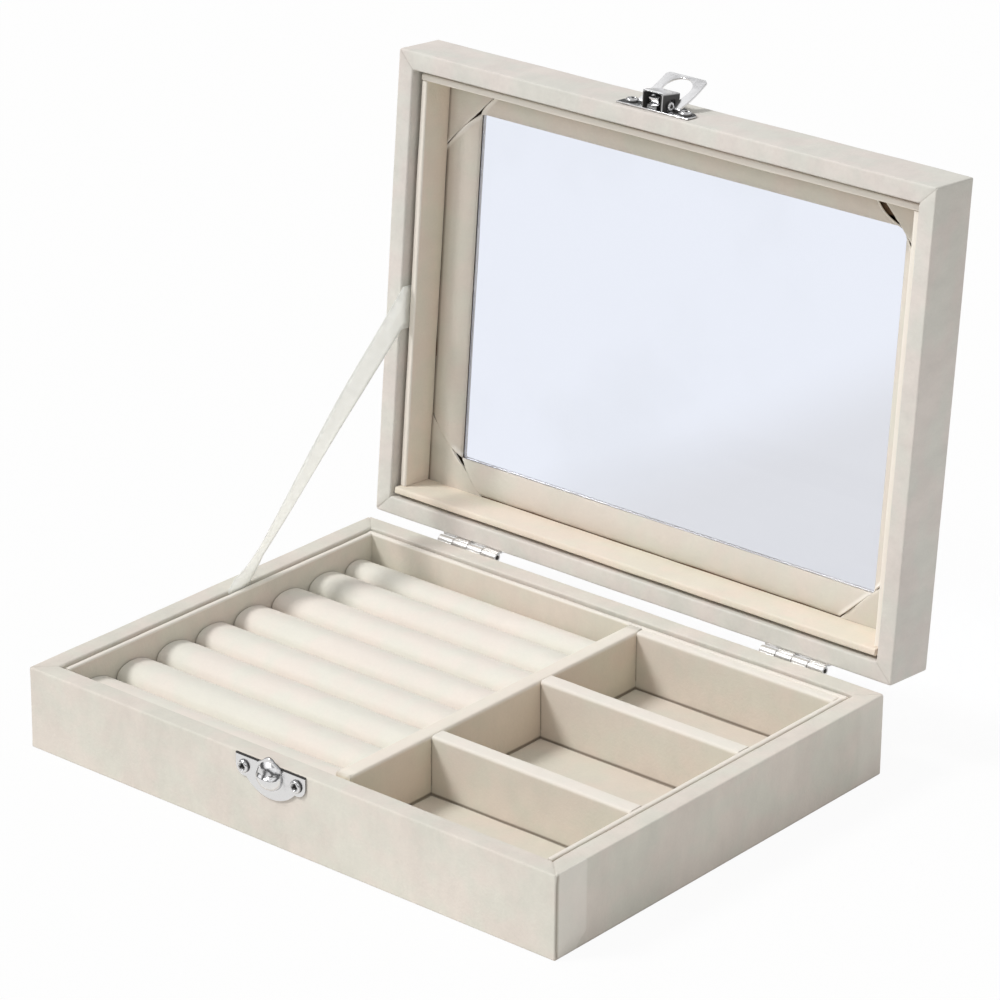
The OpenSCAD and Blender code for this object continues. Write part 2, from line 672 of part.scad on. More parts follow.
// The flap, drawn shut: its legs hang from the pin on both sides of the housing
module latch_flap() color("silver") opened() {
    eye_x = housing_w / 2 + eye_clear;
    plate_y = flap_pin_y - flap_offset;
    window_r = flap_window_w / 2;
    translate([0, flap_pin_y, flap_pin_z]) rotate([-flap_swing, 0, 0])
        translate([0, -flap_pin_y, -flap_pin_z]) difference() {
            union() {
                translate([latch_x, 0, flap_pin_z]) forwards(plate_y + flap_plate_t / 2, flap_plate_t)
                    difference() {
                        polygon([
                            [-flap_pin_w / 2, 0], [-flap_end_w / 2, -flap_len],
                            [flap_end_w / 2, -flap_len], [flap_pin_w / 2, 0]
                        ]);
                        translate([0, -flap_len + flap_bar + window_r]) circle(r = window_r);
                        polygon([
                            [-window_r, -flap_len + flap_bar + window_r], [-eye_x, over],
                            [eye_x, over], [window_r, -flap_len + flap_bar + window_r]
                        ]);
                    }
                for (side = [-1, 1])
                    translate([latch_x + side * (eye_x + eye_t / 2), flap_pin_y, flap_pin_z])
                        rotate([0, 90, 0]) cylinder(r = eye_r, h = eye_t, center = true);
            }
            at_flap_pin() cylinder(d = flap_pin_d + 2 * fit, h = 2 * flap_pin_w, center = true);
        }
}

// ---- Stay ribbon ----
// Both ends lie as far from the hinge pin as each other, so the shut lid brings them together
module stay_ribbon() color("beige") {
    base_point = [hinge_y - ribbon_out, base_h];
    lid_turn = 180 - lid_open;
    lid_side = [cos(lid_turn), sin(lid_turn)];
    rim_out = [sin(lid_turn), -cos(lid_turn)];
    lid_point = [hinge_y, hinge_z] + ribbon_out * lid_side + (lid_rim - hinge_z) * rim_out;
    run = lid_point - base_point;
    across = [-run[1], run[0]] / norm(run) * ribbon_w / 2;
    base_half = ribbon_w / 2 * norm(run) / run[1];
    lid_half = ribbon_w / 2 * norm(run) / abs(run[0] * lid_side[1] - run[1] * lid_side[0]);
    half_t = ribbon_t / 2;
    ribbon_x = -(in_x + lid_liner_out_x) / 2;
    along_x(ribbon_x - half_t, ribbon_x + half_t) polygon([
        base_point + [-base_half, 0], base_point + [-base_half, -ribbon_tail],
        base_point + [base_half, -ribbon_tail], base_point + [base_half, 0],
        lid_point - lid_half * lid_side, lid_point - lid_half * lid_side + ribbon_tail * rim_out,
        lid_point + lid_half * lid_side + ribbon_tail * rim_out, lid_point + lid_half * lid_side
    ]);
}

base_front_wall();
base_back_wall();
base_left_wall();
base_right_wall();
base_bottom_board();
base_cover();
underside_sheet();
base_front_liner();
base_back_liner();
base_left_liner();
base_right_liner();
long_divider();
front_cross_divider();
rear_cross_divider();
compartment_back_pad();
front_floor_pad();
middle_floor_pad();
rear_floor_pad();
roll_bay_card();
ring_roll(1);  // ring_roll_1
ring_roll(2);  // ring_roll_2
ring_roll(3);  // ring_roll_3
ring_roll(4);  // ring_roll_4
ring_roll(5);  // ring_roll_5
ring_roll(6);  // ring_roll_6
ring_roll(7);  // ring_roll_7
ring_roll(8);  // ring_roll_8
lid_front_wall();
lid_back_wall();
lid_left_wall();
lid_right_wall();
lid_top_board();
lid_cover();
lid_front_liner();
lid_back_liner();
lid_left_liner();
lid_right_liner();
window_glass();
window_front_flap();
window_back_flap();
window_left_flap();
window_right_flap();
window_corner_pads();
left_hinge_base_leaf();
left_hinge_lid_leaf();
left_hinge_pin();
right_hinge_base_leaf();
right_hinge_lid_leaf();
right_hinge_pin();
base_hinge_nails();
lid_hinge_nails();
catch_plate();
catch_screws();
latch_plate();
latch_housing();
latch_flap();
latch_pin();
latch_screws();
stay_ribbon();
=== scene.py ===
import json
import math

import bmesh
import bpy
from mathutils import Matrix, Vector, noise
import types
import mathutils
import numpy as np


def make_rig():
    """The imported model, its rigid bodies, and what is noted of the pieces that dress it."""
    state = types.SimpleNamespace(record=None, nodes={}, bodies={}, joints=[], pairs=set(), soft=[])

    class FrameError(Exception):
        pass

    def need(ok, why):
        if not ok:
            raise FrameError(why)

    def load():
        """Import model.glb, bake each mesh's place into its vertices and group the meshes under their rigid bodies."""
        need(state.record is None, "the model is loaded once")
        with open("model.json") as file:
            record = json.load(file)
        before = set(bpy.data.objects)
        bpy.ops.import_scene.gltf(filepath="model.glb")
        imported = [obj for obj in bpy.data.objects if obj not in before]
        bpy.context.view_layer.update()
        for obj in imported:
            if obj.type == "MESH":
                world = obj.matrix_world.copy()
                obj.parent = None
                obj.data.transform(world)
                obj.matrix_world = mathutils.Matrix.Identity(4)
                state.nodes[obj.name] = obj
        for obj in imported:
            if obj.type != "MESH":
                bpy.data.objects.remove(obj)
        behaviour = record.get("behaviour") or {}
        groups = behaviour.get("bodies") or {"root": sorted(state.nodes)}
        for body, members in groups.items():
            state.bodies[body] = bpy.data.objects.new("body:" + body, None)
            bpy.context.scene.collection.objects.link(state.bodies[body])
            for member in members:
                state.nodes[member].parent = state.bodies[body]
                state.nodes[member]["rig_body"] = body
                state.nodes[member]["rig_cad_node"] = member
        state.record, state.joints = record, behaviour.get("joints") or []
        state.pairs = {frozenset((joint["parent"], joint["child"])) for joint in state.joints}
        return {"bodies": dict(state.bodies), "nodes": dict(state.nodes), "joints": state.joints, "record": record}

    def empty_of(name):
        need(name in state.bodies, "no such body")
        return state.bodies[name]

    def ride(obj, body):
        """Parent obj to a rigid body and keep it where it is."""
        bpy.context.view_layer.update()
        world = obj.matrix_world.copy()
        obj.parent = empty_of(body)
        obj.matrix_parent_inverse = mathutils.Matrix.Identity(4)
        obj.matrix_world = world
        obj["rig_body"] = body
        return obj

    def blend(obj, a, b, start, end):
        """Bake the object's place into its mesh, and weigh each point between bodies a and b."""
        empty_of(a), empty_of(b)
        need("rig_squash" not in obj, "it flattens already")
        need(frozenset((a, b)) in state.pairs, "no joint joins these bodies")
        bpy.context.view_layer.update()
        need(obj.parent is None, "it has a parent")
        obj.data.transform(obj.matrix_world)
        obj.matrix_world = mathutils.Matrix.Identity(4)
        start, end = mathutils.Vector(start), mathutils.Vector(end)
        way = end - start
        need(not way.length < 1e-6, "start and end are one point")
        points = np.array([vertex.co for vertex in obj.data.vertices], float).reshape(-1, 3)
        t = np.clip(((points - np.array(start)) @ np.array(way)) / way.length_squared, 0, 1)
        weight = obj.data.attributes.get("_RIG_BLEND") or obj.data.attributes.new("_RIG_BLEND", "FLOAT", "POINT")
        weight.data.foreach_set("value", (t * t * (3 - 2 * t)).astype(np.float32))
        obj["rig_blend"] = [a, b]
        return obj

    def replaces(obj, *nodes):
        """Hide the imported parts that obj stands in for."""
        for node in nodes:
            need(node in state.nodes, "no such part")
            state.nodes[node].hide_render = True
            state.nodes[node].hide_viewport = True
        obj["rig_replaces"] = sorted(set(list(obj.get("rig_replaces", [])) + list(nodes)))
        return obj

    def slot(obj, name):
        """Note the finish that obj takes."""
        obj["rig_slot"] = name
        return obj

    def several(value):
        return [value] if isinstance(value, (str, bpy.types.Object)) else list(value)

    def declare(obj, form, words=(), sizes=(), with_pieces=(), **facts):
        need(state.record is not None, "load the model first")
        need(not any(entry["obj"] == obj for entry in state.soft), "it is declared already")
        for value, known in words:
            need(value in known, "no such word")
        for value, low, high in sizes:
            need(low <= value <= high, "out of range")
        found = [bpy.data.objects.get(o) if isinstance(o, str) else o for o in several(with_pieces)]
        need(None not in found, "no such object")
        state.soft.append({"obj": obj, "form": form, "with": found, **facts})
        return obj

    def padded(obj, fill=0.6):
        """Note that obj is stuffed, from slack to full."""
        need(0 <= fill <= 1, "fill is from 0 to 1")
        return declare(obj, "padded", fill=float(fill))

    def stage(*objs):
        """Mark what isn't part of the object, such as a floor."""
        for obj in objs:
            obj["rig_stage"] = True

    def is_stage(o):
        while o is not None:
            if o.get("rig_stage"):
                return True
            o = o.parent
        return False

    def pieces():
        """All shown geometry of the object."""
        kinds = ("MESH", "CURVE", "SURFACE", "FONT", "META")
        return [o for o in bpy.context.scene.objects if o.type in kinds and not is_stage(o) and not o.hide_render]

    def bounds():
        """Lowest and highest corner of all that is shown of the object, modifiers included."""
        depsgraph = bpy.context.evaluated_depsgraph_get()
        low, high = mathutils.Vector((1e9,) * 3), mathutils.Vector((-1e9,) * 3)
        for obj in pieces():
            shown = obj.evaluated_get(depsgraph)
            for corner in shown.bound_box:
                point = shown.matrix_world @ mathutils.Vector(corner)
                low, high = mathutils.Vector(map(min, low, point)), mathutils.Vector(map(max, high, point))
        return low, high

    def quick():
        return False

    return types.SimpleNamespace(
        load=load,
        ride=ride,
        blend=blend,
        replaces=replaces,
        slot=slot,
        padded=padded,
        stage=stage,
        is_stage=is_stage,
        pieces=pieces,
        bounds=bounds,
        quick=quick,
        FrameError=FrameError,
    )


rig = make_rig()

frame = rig.load()
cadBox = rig.bounds()
nodes = frame["nodes"]
joints = {joint["name"]: joint for joint in frame["joints"]}
mm = 0.001
root2 = math.sqrt(2)

# The lid is made shut, in the place it has over the tray, and then turned open about the hinge pin
hingePin = Vector(joints["lid_hinge"]["pos_m"])
openAngle = math.radians(joints["lid_hinge"]["range_deg"][1])
openLid = Matrix.Translation(hingePin) @ Matrix.Rotation(-openAngle, 4, "X") @ Matrix.Translation(-hingePin)
shutLid = openLid.inverted()
flapSwing = math.radians(joints["latch_hinge"]["range_deg"][1])
flapPin = shutLid @ Vector(joints["latch_hinge"]["pos_m"])
swingFlap = Matrix.Translation(flapPin) @ Matrix.Rotation(-flapSwing, 4, "X") @ Matrix.Translation(-flapPin)


def spanOf(node, place=None):  # lowest and highest corner of a CAD node in mm, in the shut frame if asked
    points = [(place @ v.co if place else v.co) / mm for v in nodes[node].data.vertices]
    return [Vector([pick(p[axis] for p in points) for axis in range(3)]) for pick in (min, max)]


class Wire:  # one socket of a finish, with which sums can be written
    def __init__(self, finish, socket):
        self.finish, self.socket = finish, socket

    def sum(self, operation, a, b):
        return self.finish.node("Math", {"operation": operation}, {0: a, 1: b})

    def __add__(self, other): return self.sum("ADD", self, other)
    def __radd__(self, other): return self.sum("ADD", other, self)
    def __sub__(self, other): return self.sum("SUBTRACT", self, other)
    def __rsub__(self, other): return self.sum("SUBTRACT", other, self)
    def __mul__(self, other): return self.sum("MULTIPLY", self, other)
    def __truediv__(self, other): return self.sum("DIVIDE", self, other)
    def __abs__(self): return self.sum("ABSOLUTE", self, 0)
    def most(self, other): return self.sum("MAXIMUM", self, other)
    def wave(self): return self.sum("SINE", self, 0)


class Finish:  # a material or world under construction
    def __init__(self, tree, shader):
        self.tree, self.shader = tree, tree.nodes[shader]

    def node(self, kind, settings=None, inputs=None, out=0):
        made = self.tree.nodes.new("ShaderNode" + kind)
        for key, value in (settings or {}).items():
            if key == "stops":
                ramp = made.color_ramp.elements
                for stop, (place, tone) in enumerate(value):
                    element = ramp[stop] if stop < 2 else ramp.new(place)
                    element.position, element.color = place, (tone, tone, tone, 1)
            else:
                setattr(made, key, value)
        for key, value in (inputs or {}).items():
            self.plug(made.inputs[key], value)
        return Wire(self, made.outputs[out])

    def plug(self, socket, value):
        if isinstance(value, Wire):
            self.tree.links.new(value.socket, socket)
        else:
            socket.default_value = value

    def set(self, **values):
        for name, value in values.items():
            self.plug(self.shader.inputs[name.replace("_", " ")], value)

    def place(self, turned=None):  # object coordinates, or those of the frame that turned leads to
        at = self.node("TexCoord", out="Object")
        if turned is None:
            return at
        moved = {"Vector": at, "Location": turned.to_translation(), "Rotation": turned.to_euler()}
        return self.node("Mapping", None, moved)

    def parts(self, vector):  # the three coordinates in mm
        return [self.node("SeparateXYZ", None, {0: vector}, out) / mm for out in range(3)]

    def stretched(self, vector, scale):
        return self.node("Mapping", None, {"Vector": vector, "Scale": scale})

    def noise(self, vector, size, detail=3.0, roughness=0.5):  # size is a blotch's width in mm
        settings = {"Vector": vector, "Scale": 1 / (size * mm), "Detail": detail, "Roughness": roughness}
        return self.node("TexNoise", None, settings) - 0.5

    def step(self, value, start, end):  # 0 before start and 1 after end, softly
        settings = {"interpolation_type": "SMOOTHSTEP"}
        return self.node("MapRange", settings, {"Value": value, "From Min": start, "From Max": end})

    def fade(self, value, start, end):  # 1 before start and 0 after end, softly
        return 1 - self.step(value, start, end)

    def near(self, value, middle, half):  # 1 at middle, falling to 0 at half away from it
        return self.fade(abs(value - middle), 0, half)

    def ray(self, kind):  # 1 for rays of that kind
        return self.node("LightPath", out="Is " + kind + " Ray")

    def painted(self, layer):  # a value that the mesh's points carry
        return self.node("Attribute", {"attribute_name": layer}, out="Fac")

    def blend(self, share, a, b):
        settings = {"data_type": "RGBA", "clamp_factor": True}
        return self.node("Mix", settings, {0: share, 6: a, 7: b}, 2)

    def times(self, a, b):  # two colours
        settings = {"data_type": "RGBA", "blend_type": "MULTIPLY"}
        return self.node("Mix", settings, {0: 1.0, 6: a, 7: b}, 2)

    def bump(self, height, strength, distance):  # distance in mm
        values = {"Strength": strength, "Distance": distance * mm, "Height": height}
        return self.node("Bump", None, values)

    def mixWith(self, share, other):  # the surface is this shader, and another where the share is 1
        own = Wire(self, self.shader.outputs[0])
        mixed = self.node("MixShader", None, {0: share, 1: own, 2: other})
        self.plug(self.tree.nodes["Material Output"].inputs["Surface"], mixed)


def newFinish(name):
    material = bpy.data.materials.new(name)
    material.use_nodes = True
    return material, Finish(material.node_tree, "Principled BSDF")


def shaded(colour, share): return (*[c * share for c in colour], 1)


velvetLooks = {  # colour, and how far clouds, mottle and nap change it; cloudSize in mm
    "cover": {"colour": (0.70, 0.66, 0.596), "cloud": 0.15, "mottle": 0.2, "nap": 0.07, "cloudSize": 30},
    "lid": {"colour": (0.70, 0.668, 0.624), "cloud": 0.15, "mottle": 0.23, "nap": 0.07, "cloudSize": 34},
    "lining": {"colour": (0.70, 0.648, 0.568), "cloud": 0.1, "mottle": 0.12, "nap": 0.06, "cloudSize": 28},
    # the divider: the lining's cloth painted warmer, for a warmer tone in its shade
    "divider": {"colour": (0.72, 0.642, 0.53), "cloud": 0.1, "mottle": 0.09, "nap": 0.06, "cloudSize": 28},
    # the lid's liners: the lining's cloth painted lighter, as painted light in their shade
    "lidLiningLit": {"colour": (0.8, 0.722, 0.612), "cloud": 0.1, "mottle": 0.09, "nap": 0.06, "cloudSize": 28},
    # the window flaps: the lining's cloth painted lighter, as painted light in their shade
    "flap": {"colour": (0.735, 0.69, 0.615), "cloud": 0.1, "mottle": 0.09, "nap": 0.06, "cloudSize": 28},
    "roll": {"colour": (0.79, 0.75, 0.685), "cloud": 0.05, "mottle": 0.05, "nap": 0.05, "cloudSize": 24},
}
velvetTints = {
    "rosy": (1.024, 0.992, 0.988, 1), "mossy": (0.98, 1.004, 0.988, 1), "size": 13, "spread": 0.14,
    # fold is the colour of painted shade, brushed the colour of painted highlight
    "fold": (0.17, 0.125, 0.085, 1), "brushed": (0.93, 0.885, 0.82, 1), "range": (0.875, 1.125),
}


# dark and light: where painted shade darkens the cloth and painted highlight lightens it, worked out from the place in
# mm
def velvet(name, look, dark=None, light=None, turned=None):
    material, finish = newFinish(name)
    at = finish.place(turned)
    x, y, z = finish.parts(at)
    cloud = finish.noise(at, look["cloudSize"], 3)
    brushed = finish.noise(finish.stretched(at, (1, 1, 0.55)), 6, 4, 0.6)
    nap = finish.noise(at, 0.9, 2)
    tone = 0.5 + cloud * (look["cloud"] * 4) + brushed * (look["mottle"] * 4) + nap * (look["nap"] * 4)
    tints = velvetTints
    patches = finish.noise(finish.stretched(at, (1, 0.9, 1.1)), tints["size"], 2)
    hue = finish.step(patches, -tints["spread"], tints["spread"])
    colour = finish.blend(tone, *(shaded(look["colour"], share) for share in tints["range"]))
    colour = finish.times(colour, finish.blend(hue, tints["rosy"], tints["mossy"]))
    # painted shade towards the fold colour, and painted highlight towards the brushed colour
    if dark:
        colour = finish.blend(dark(finish, x, y, z), colour, tints["fold"])
    if light:
        colour = finish.blend(light(finish, x, y, z), colour, tints["brushed"])
    finish.set(
        Base_Color=colour, Roughness=0.88 + brushed * 0.2,
        Normal=finish.bump(nap * 0.6 + brushed * 1.4 + cloud, 0.35, 0.35),
        Specular_IOR_Level=0.2, Sheen_Weight=0.25, Sheen_Roughness=0.45, Sheen_Tint=(1.0, 0.97, 0.92, 1),
    )
    return material


# Marks on the velvet, in mm: a pair is where a soft step starts and ends, or a middle and its reach
coverMarks = {
    "half": (100, 75), "mitre": 0.45, "mitreEnd": (68.6, 69.0), "mitreDark": 0.14, "rim": (25.4, 25.8),
    "side": (99.2, 99.7), "foot": (0.1, 1.1), "footDark": 0.35,
    "groove": (-74.15, 0.75), "grooveFoot": (0.2, 1.2), "grooveTop": (25.3, 25.9), "grooveDark": 0.6,
    "lapFoot": (0.8, 5), "lapSlant": 4, "lapLow": 0.6, "frontLap": (-73.6, -73.2), "frontEnd": (-62.2, -61.2),
    "frontPale": 0.42, "backLap": (62.4, 64.6), "backPale": 0.2,
}
lidMarks = {
    "rim": (26.85, 27.2), "mitreDark": 0.18, "side": (99.3, 99.7), "sideEnd": (-75, 5), "sideDark": 0.14,
    "turned": (43.5, 43.8), "turnedTop": (44.8, 44.95), "turnedX": (83, 84), "turnedY": (58, 59),
    "fold": (0.2, 1.3), "foldDark": 0.5, "sideSlope": (0.4, 5), "frontSlope": (0.4, 6), "slopeDark": 0.22,
    "hingeFlap": (50, 56), "hingeFlapDark": 0.14,
}
linerMarks = {
    "trayEdge": spanOf("base_left_liner")[1].z, "trayPale": 0.5,
    "lidEdge": spanOf("lid_left_liner", shutLid)[0].z, "lidPale": 0.7, "edge": (0.3, 0.9),
}
dividerMarks = {
    "right": spanOf("long_divider")[1].x, "floor": spanOf("front_floor_pad")[1].z,
    "ridge": (23.9, 25.1), "ridgePale": 0.5, "gap": 0.75, "gapSide": (-0.4, -0.1), "gapDark": 0.75,
    "corner": 0.6, "cornerFoot": (9, 10), "cornerTop": (23.5, 24.5), "cornerDark": 0.5,
}


def mitreLine(finish, x, y):  # painted shade: the thin dark line in the crease where the covering is mitred at a rim's corner
    halfX, halfY = coverMarks["half"]
    away = (abs(x) - halfX) - (abs(y) - halfY)
    return finish.near(away, 0, coverMarks["mitre"]) * finish.step(abs(y), *coverMarks["mitreEnd"])


def trayDark(finish, x, y, z):  # painted shade: the lap's groove beside the front corners, the foot of the sides and the rim's mitres are darkened
    marks = coverMarks
    side = finish.step(abs(x), *marks["side"])
    groove = finish.near(y, *marks["groove"]) * side * finish.step(z, *marks["grooveFoot"])
    groove = groove * finish.fade(z, *marks["grooveTop"])
    mitre = mitreLine(finish, x, y) * finish.step(z, *marks["rim"])
    foot = finish.fade(z, *marks["foot"]) * side
    return groove * marks["grooveDark"] + foot * marks["footDark"] + mitre * marks["mitreDark"]


def trayLight(finish, x, y, z):  # the paler doubled cloth where the front and back lap round onto the sides
    marks = coverMarks
    side = finish.step(abs(x), *marks["side"])
    foot = finish.step(z, *marks["lapFoot"])
    front = finish.fade(y + (1 - foot) * marks["lapSlant"], *marks["frontEnd"])
    front = front * finish.step(y, *marks["frontLap"])
    pale = front * marks["frontPale"] + finish.step(y, *marks["backLap"]) * marks["backPale"]
    return pale * side * (marks["lapLow"] + foot * (1 - marks["lapLow"]))


def lidDark(finish, x, y, z):
    # painted shade: the lid's right outer side is darkened towards the front, and the mitres of its rim
    marks = lidMarks
    side = finish.step(x, *marks["side"]) * finish.fade(y, *marks["sideEnd"])
    mitre = mitreLine(finish, x, y) * finish.fade(z, *marks["rim"])
    return mitre * marks["mitreDark"] + side * marks["sideDark"]


def lidLight(finish, x, y, z):  # painted highlight: the velvet is painted paler where it turns down to the pane, lightening its shade
    marks = lidMarks
    turned = finish.step(z, *marks["turned"]) * finish.fade(z, *marks["turnedTop"])
    return turned * finish.fade(abs(x), *marks["turnedX"]) * finish.fade(abs(y), *marks["turnedY"])


def creaseDark(finish, x, y, z):  # painted shade: the shaded fold where a flap comes out from under its liner, a wider shade on the slopes beside the liners, and shade on the flap at the hinges
    marks = lidMarks
    side = spanOf("lid_right_liner", shutLid)[0].x - abs(x)
    front = y - spanOf("lid_front_liner", shutLid)[1].y
    fold = finish.fade(side, *marks["fold"]) + finish.fade(front, *marks["fold"])
    slope = finish.fade(side, *marks["sideSlope"]) + finish.fade(front, *marks["frontSlope"])
    hingeShade = finish.step(y, *marks["hingeFlap"]) * marks["hingeFlapDark"]  # painted shade on the flap at the hinges
    return fold * marks["foldDark"] + slope * marks["slopeDark"] + hingeShade


def ridgeLight(finish, x, y, z):  # painted highlight: the dividers' upward-facing tops are painted as pale as the rolls
    return finish.step(z, *dividerMarks["ridge"]) * dividerMarks["ridgePale"]


def linerTopLight(finish, x, y, z):  # painted highlight: the liners' folded top edges are painted paler than their faces
    near, far = linerMarks["edge"]
    edge = linerMarks["trayEdge"]
    return finish.step(z, edge - far, edge - near) * linerMarks["trayPale"]


def linerEndLight(finish, x, y, z):
    # painted highlight: the lid liners' folded ends by the rim are painted paler than their faces
    near, far = linerMarks["edge"]
    edge = linerMarks["lidEdge"]
    return finish.fade(z, edge + near, edge + far) * linerMarks["lidPale"]


def contactDark(finish, x, y, z):  # painted shade: the dark gaps where the floors meet the long divider
    marks = dividerMarks
    side = finish.step(x, *(marks["right"] + away for away in marks["gapSide"]))
    return finish.near(z, marks["floor"] - 0.1, marks["gap"]) * side * marks["gapDark"]


def cornerDark(finish, x, y, z):  # painted shade, also in the corners where the cross dividers and the back board meet it
    marks = dividerMarks
    height = finish.step(z, *marks["cornerFoot"]) * finish.fade(z, *marks["cornerTop"])
    corner = finish.near(x, marks["right"] + 0.1, marks["corner"]) * height
    return contactDark(finish, x, y, z) + corner * marks["cornerDark"]


def lipLight(finish, x, y, z):  # painted highlight: the turned edges beside the slits are painted paler
    return finish.painted("lip")


coverVelvet = velvet("coverVelvet", velvetLooks["cover"], trayDark, trayLight)
lidVelvet = velvet("lidVelvet", velvetLooks["lid"], lidDark, lidLight, turned=shutLid)
liningVelvet = velvet("liningVelvet", velvetLooks["lining"])
trayLinerVelvet = velvet("trayLinerVelvet", velvetLooks["lining"], light=linerTopLight)
# the lid's liners and window flaps take cloth painted lighter, as painted light in their shade
lidLiningVelvet = velvet("lidLiningVelvet", velvetLooks["lidLiningLit"], light=linerEndLight, turned=shutLid)
hingeLinerVelvet = velvet("hingeLinerVelvet", velvetLooks["lidLiningLit"], turned=shutLid)
flapVelvet = velvet("flapVelvet", velvetLooks["flap"], creaseDark, lipLight, turned=shutLid)
dividerVelvet = velvet("dividerVelvet", velvetLooks["divider"], contactDark, ridgeLight)
crossVelvet = velvet("crossVelvet", velvetLooks["lining"], cornerDark, ridgeLight)
rollVelvet = velvet("rollVelvet", velvetLooks["roll"])

ribbonWeave = {"way": (0.74, 0.67), "pitch": 0.7, "open": 0.62}


def satin():  # woven ribbon: fine ribs across its length, a dull sheen, and light that comes through it
    material, finish = newFinish("ribbonSatin")
    at = finish.place()
    y, z = finish.parts(at)[1:]
    wayY, wayZ = ribbonWeave["way"]
    ribs = ((y * wayY + z * wayZ) * (math.tau / ribbonWeave["pitch"])).wave()
    threads = finish.noise(finish.stretched(at, (1, 0.2, 0.2)), 0.5, 2)
    tone = 0.5 + ribs * 0.12 + threads * 0.8 + finish.noise(at, 14, 2) * 0.6
    finish.set(
        Base_Color=finish.blend(tone, (0.90, 0.90, 0.845, 1), (0.95, 0.95, 0.915, 1)),
        Roughness=0.5 + threads * 0.2, Normal=finish.bump(ribs * 0.5 + threads, 0.3, 0.06),
        Specular_IOR_Level=0.4, Sheen_Weight=0.2, Sheen_Roughness=0.35,
    )
    through = finish.node("BsdfTranslucent", None, {"Color": (0.95, 0.95, 0.93, 1)})
    finish.mixWith(ribbonWeave["open"] + threads * 0.3, through)
    return material


def nickel(name, colour, roughness, waved):  # bright plating over steel, painted black where its points carry painted shade and dark reflection
    material, finish = newFinish(name)
    at = finish.place()
    waves = finish.noise(at, 3.2, 2)
    specks = finish.noise(at, 0.35, 3)
    brushed = finish.noise(finish.stretched(at, (0.25, 1, 1)), 0.3, 2)
    tarnish = finish.step(finish.noise(at, 5, 4, 0.65), 0.06, 0.22)
    recess = finish.painted("recess")
    plated = finish.blend(tarnish * 0.35, shaded(colour, 1), shaded(colour, 0.62))
    finish.set(
        Base_Color=finish.blend(recess, plated, (0.015, 0.013, 0.012, 1)), Metallic=1.0 - recess * 0.8,
        Roughness=roughness + specks * 0.12 + tarnish * 0.12 + recess * 0.35,
        Normal=finish.bump(waves * waved + brushed * 0.12 + specks * 0.1, 0.55, 0.22),
    )
    return material


latchNickel = nickel("latchNickel", (0.84, 0.84, 0.85), 0.16, 0.5)
hingeNickel = nickel("hingeNickel", (0.86, 0.85, 0.84), 0.45, 0.05)
pinSteel = nickel("pinSteel", (0.07, 0.065, 0.06), 0.35, 0.3)

paneLook = {
    "clean": (0.835, 0.868, 0.955, 1), "smeared": (0.80, 0.832, 0.91, 1), "greyer": (0.735, 0.75, 0.80, 1),
    "shadow": (0.86, 0.89, 0.95, 1), "bend": 1.22,
    "slant": 0.6, "greying": (45, 80),  # greyer towards the lower right corner
}


def glass():  # clear float glass, with shadow rays let through
    look = paneLook
    material, finish = newFinish("paneGlass")
    at = finish.place()
    x, z = finish.parts(at)[::2]
    smear = finish.step(finish.noise(at, 60, 3, 0.55), -0.05, 0.25)
    greying = finish.fade(z - x * look["slant"], *look["greying"])
    tone = finish.blend(smear, look["clean"], look["smeared"])
    finish.set(
        Base_Color=finish.blend(greying, tone, look["greyer"]),
        Transmission_Weight=1.0, IOR=look["bend"], Roughness=smear * 0.03 + 0.01,
    )
    clear = finish.node("BsdfTransparent", None, {"Color": look["shadow"]})
    finish.mixWith(finish.ray("Shadow"), clear)
    return material


def fibreboard():
    material, finish = newFinish("fibreboard")
    at = finish.place()
    fibres = finish.noise(finish.stretched(at, (1, 0.3, 0.3)), 1.1, 4, 0.7)
    blotch = finish.noise(at, 12, 3)
    finish.set(
        Base_Color=finish.blend(0.5 + fibres * 1.6 + blotch, (0.10, 0.058, 0.032, 1), (0.24, 0.15, 0.09, 1)),
        Roughness=0.85 + fibres * 0.2, Normal=finish.bump(fibres, 0.5, 0.2),
    )
    return material


def paper(name, colour, grain, speckle):  # card and flocked sheet
    material, finish = newFinish(name)
    at = finish.place()
    fibres = finish.noise(at, grain, 4, 0.65)
    cloud = finish.noise(at, 22, 3)
    tone = 0.5 + fibres * speckle + cloud * 0.8
    finish.set(
        Base_Color=finish.blend(tone, shaded(colour, 0.86), shaded(colour, 1.1)),
        Roughness=0.9 + fibres * 0.15, Normal=finish.bump(fibres, 0.4, 0.15), Specular_IOR_Level=0.25,
    )
    return material


ribbonSatin = satin()
paneGlass = glass()
boardWood = fibreboard()
bayCard = paper("bayCard", (0.70, 0.65, 0.56), 0.8, 1.4)
footSheet = paper("footSheet", (0.66, 0.62, 0.55), 0.5, 1.0)
print("finishes made")


def everything(bm): return bm.verts[:] + bm.edges[:] + bm.faces[:]
def only(geom, kind): return [g for g in geom if isinstance(g, kind)]
def foldsOf(bm, turn=1): return [e for e in bm.edges if e.is_manifold and e.calc_face_angle() > turn]
def outward(bm): bmesh.ops.recalc_face_normals(bm, faces=bm.faces[:])
def moveBy(bm, way): bmesh.ops.translate(bm, vec=Vector(way) * mm, verts=bm.verts[:])


def strung(bm, spots):  # a line through spots in mm
    verts = [bm.verts.new(Vector(spot) * mm) for spot in spots]
    return [bm.edges.new(pair) for pair in zip(verts, verts[1:])]


def spun(bm, geom, centre, axis, angle, steps, way=(0, 0, 0), merged=False):  # centre and way in mm
    return bmesh.ops.spin(
        bm, geom=geom, cent=Vector(centre) * mm, axis=axis, angle=angle, steps=steps,
        dvec=Vector(way) * mm / steps, use_merge=merged, use_duplicate=False,
    )["geom_last"]


def faceAt(bm, axis, level):  # the face that lies across an axis at a level in mm
    return next(f for f in bm.faces if abs(f.calc_center_median()[axis] / mm - level) < 0.1)


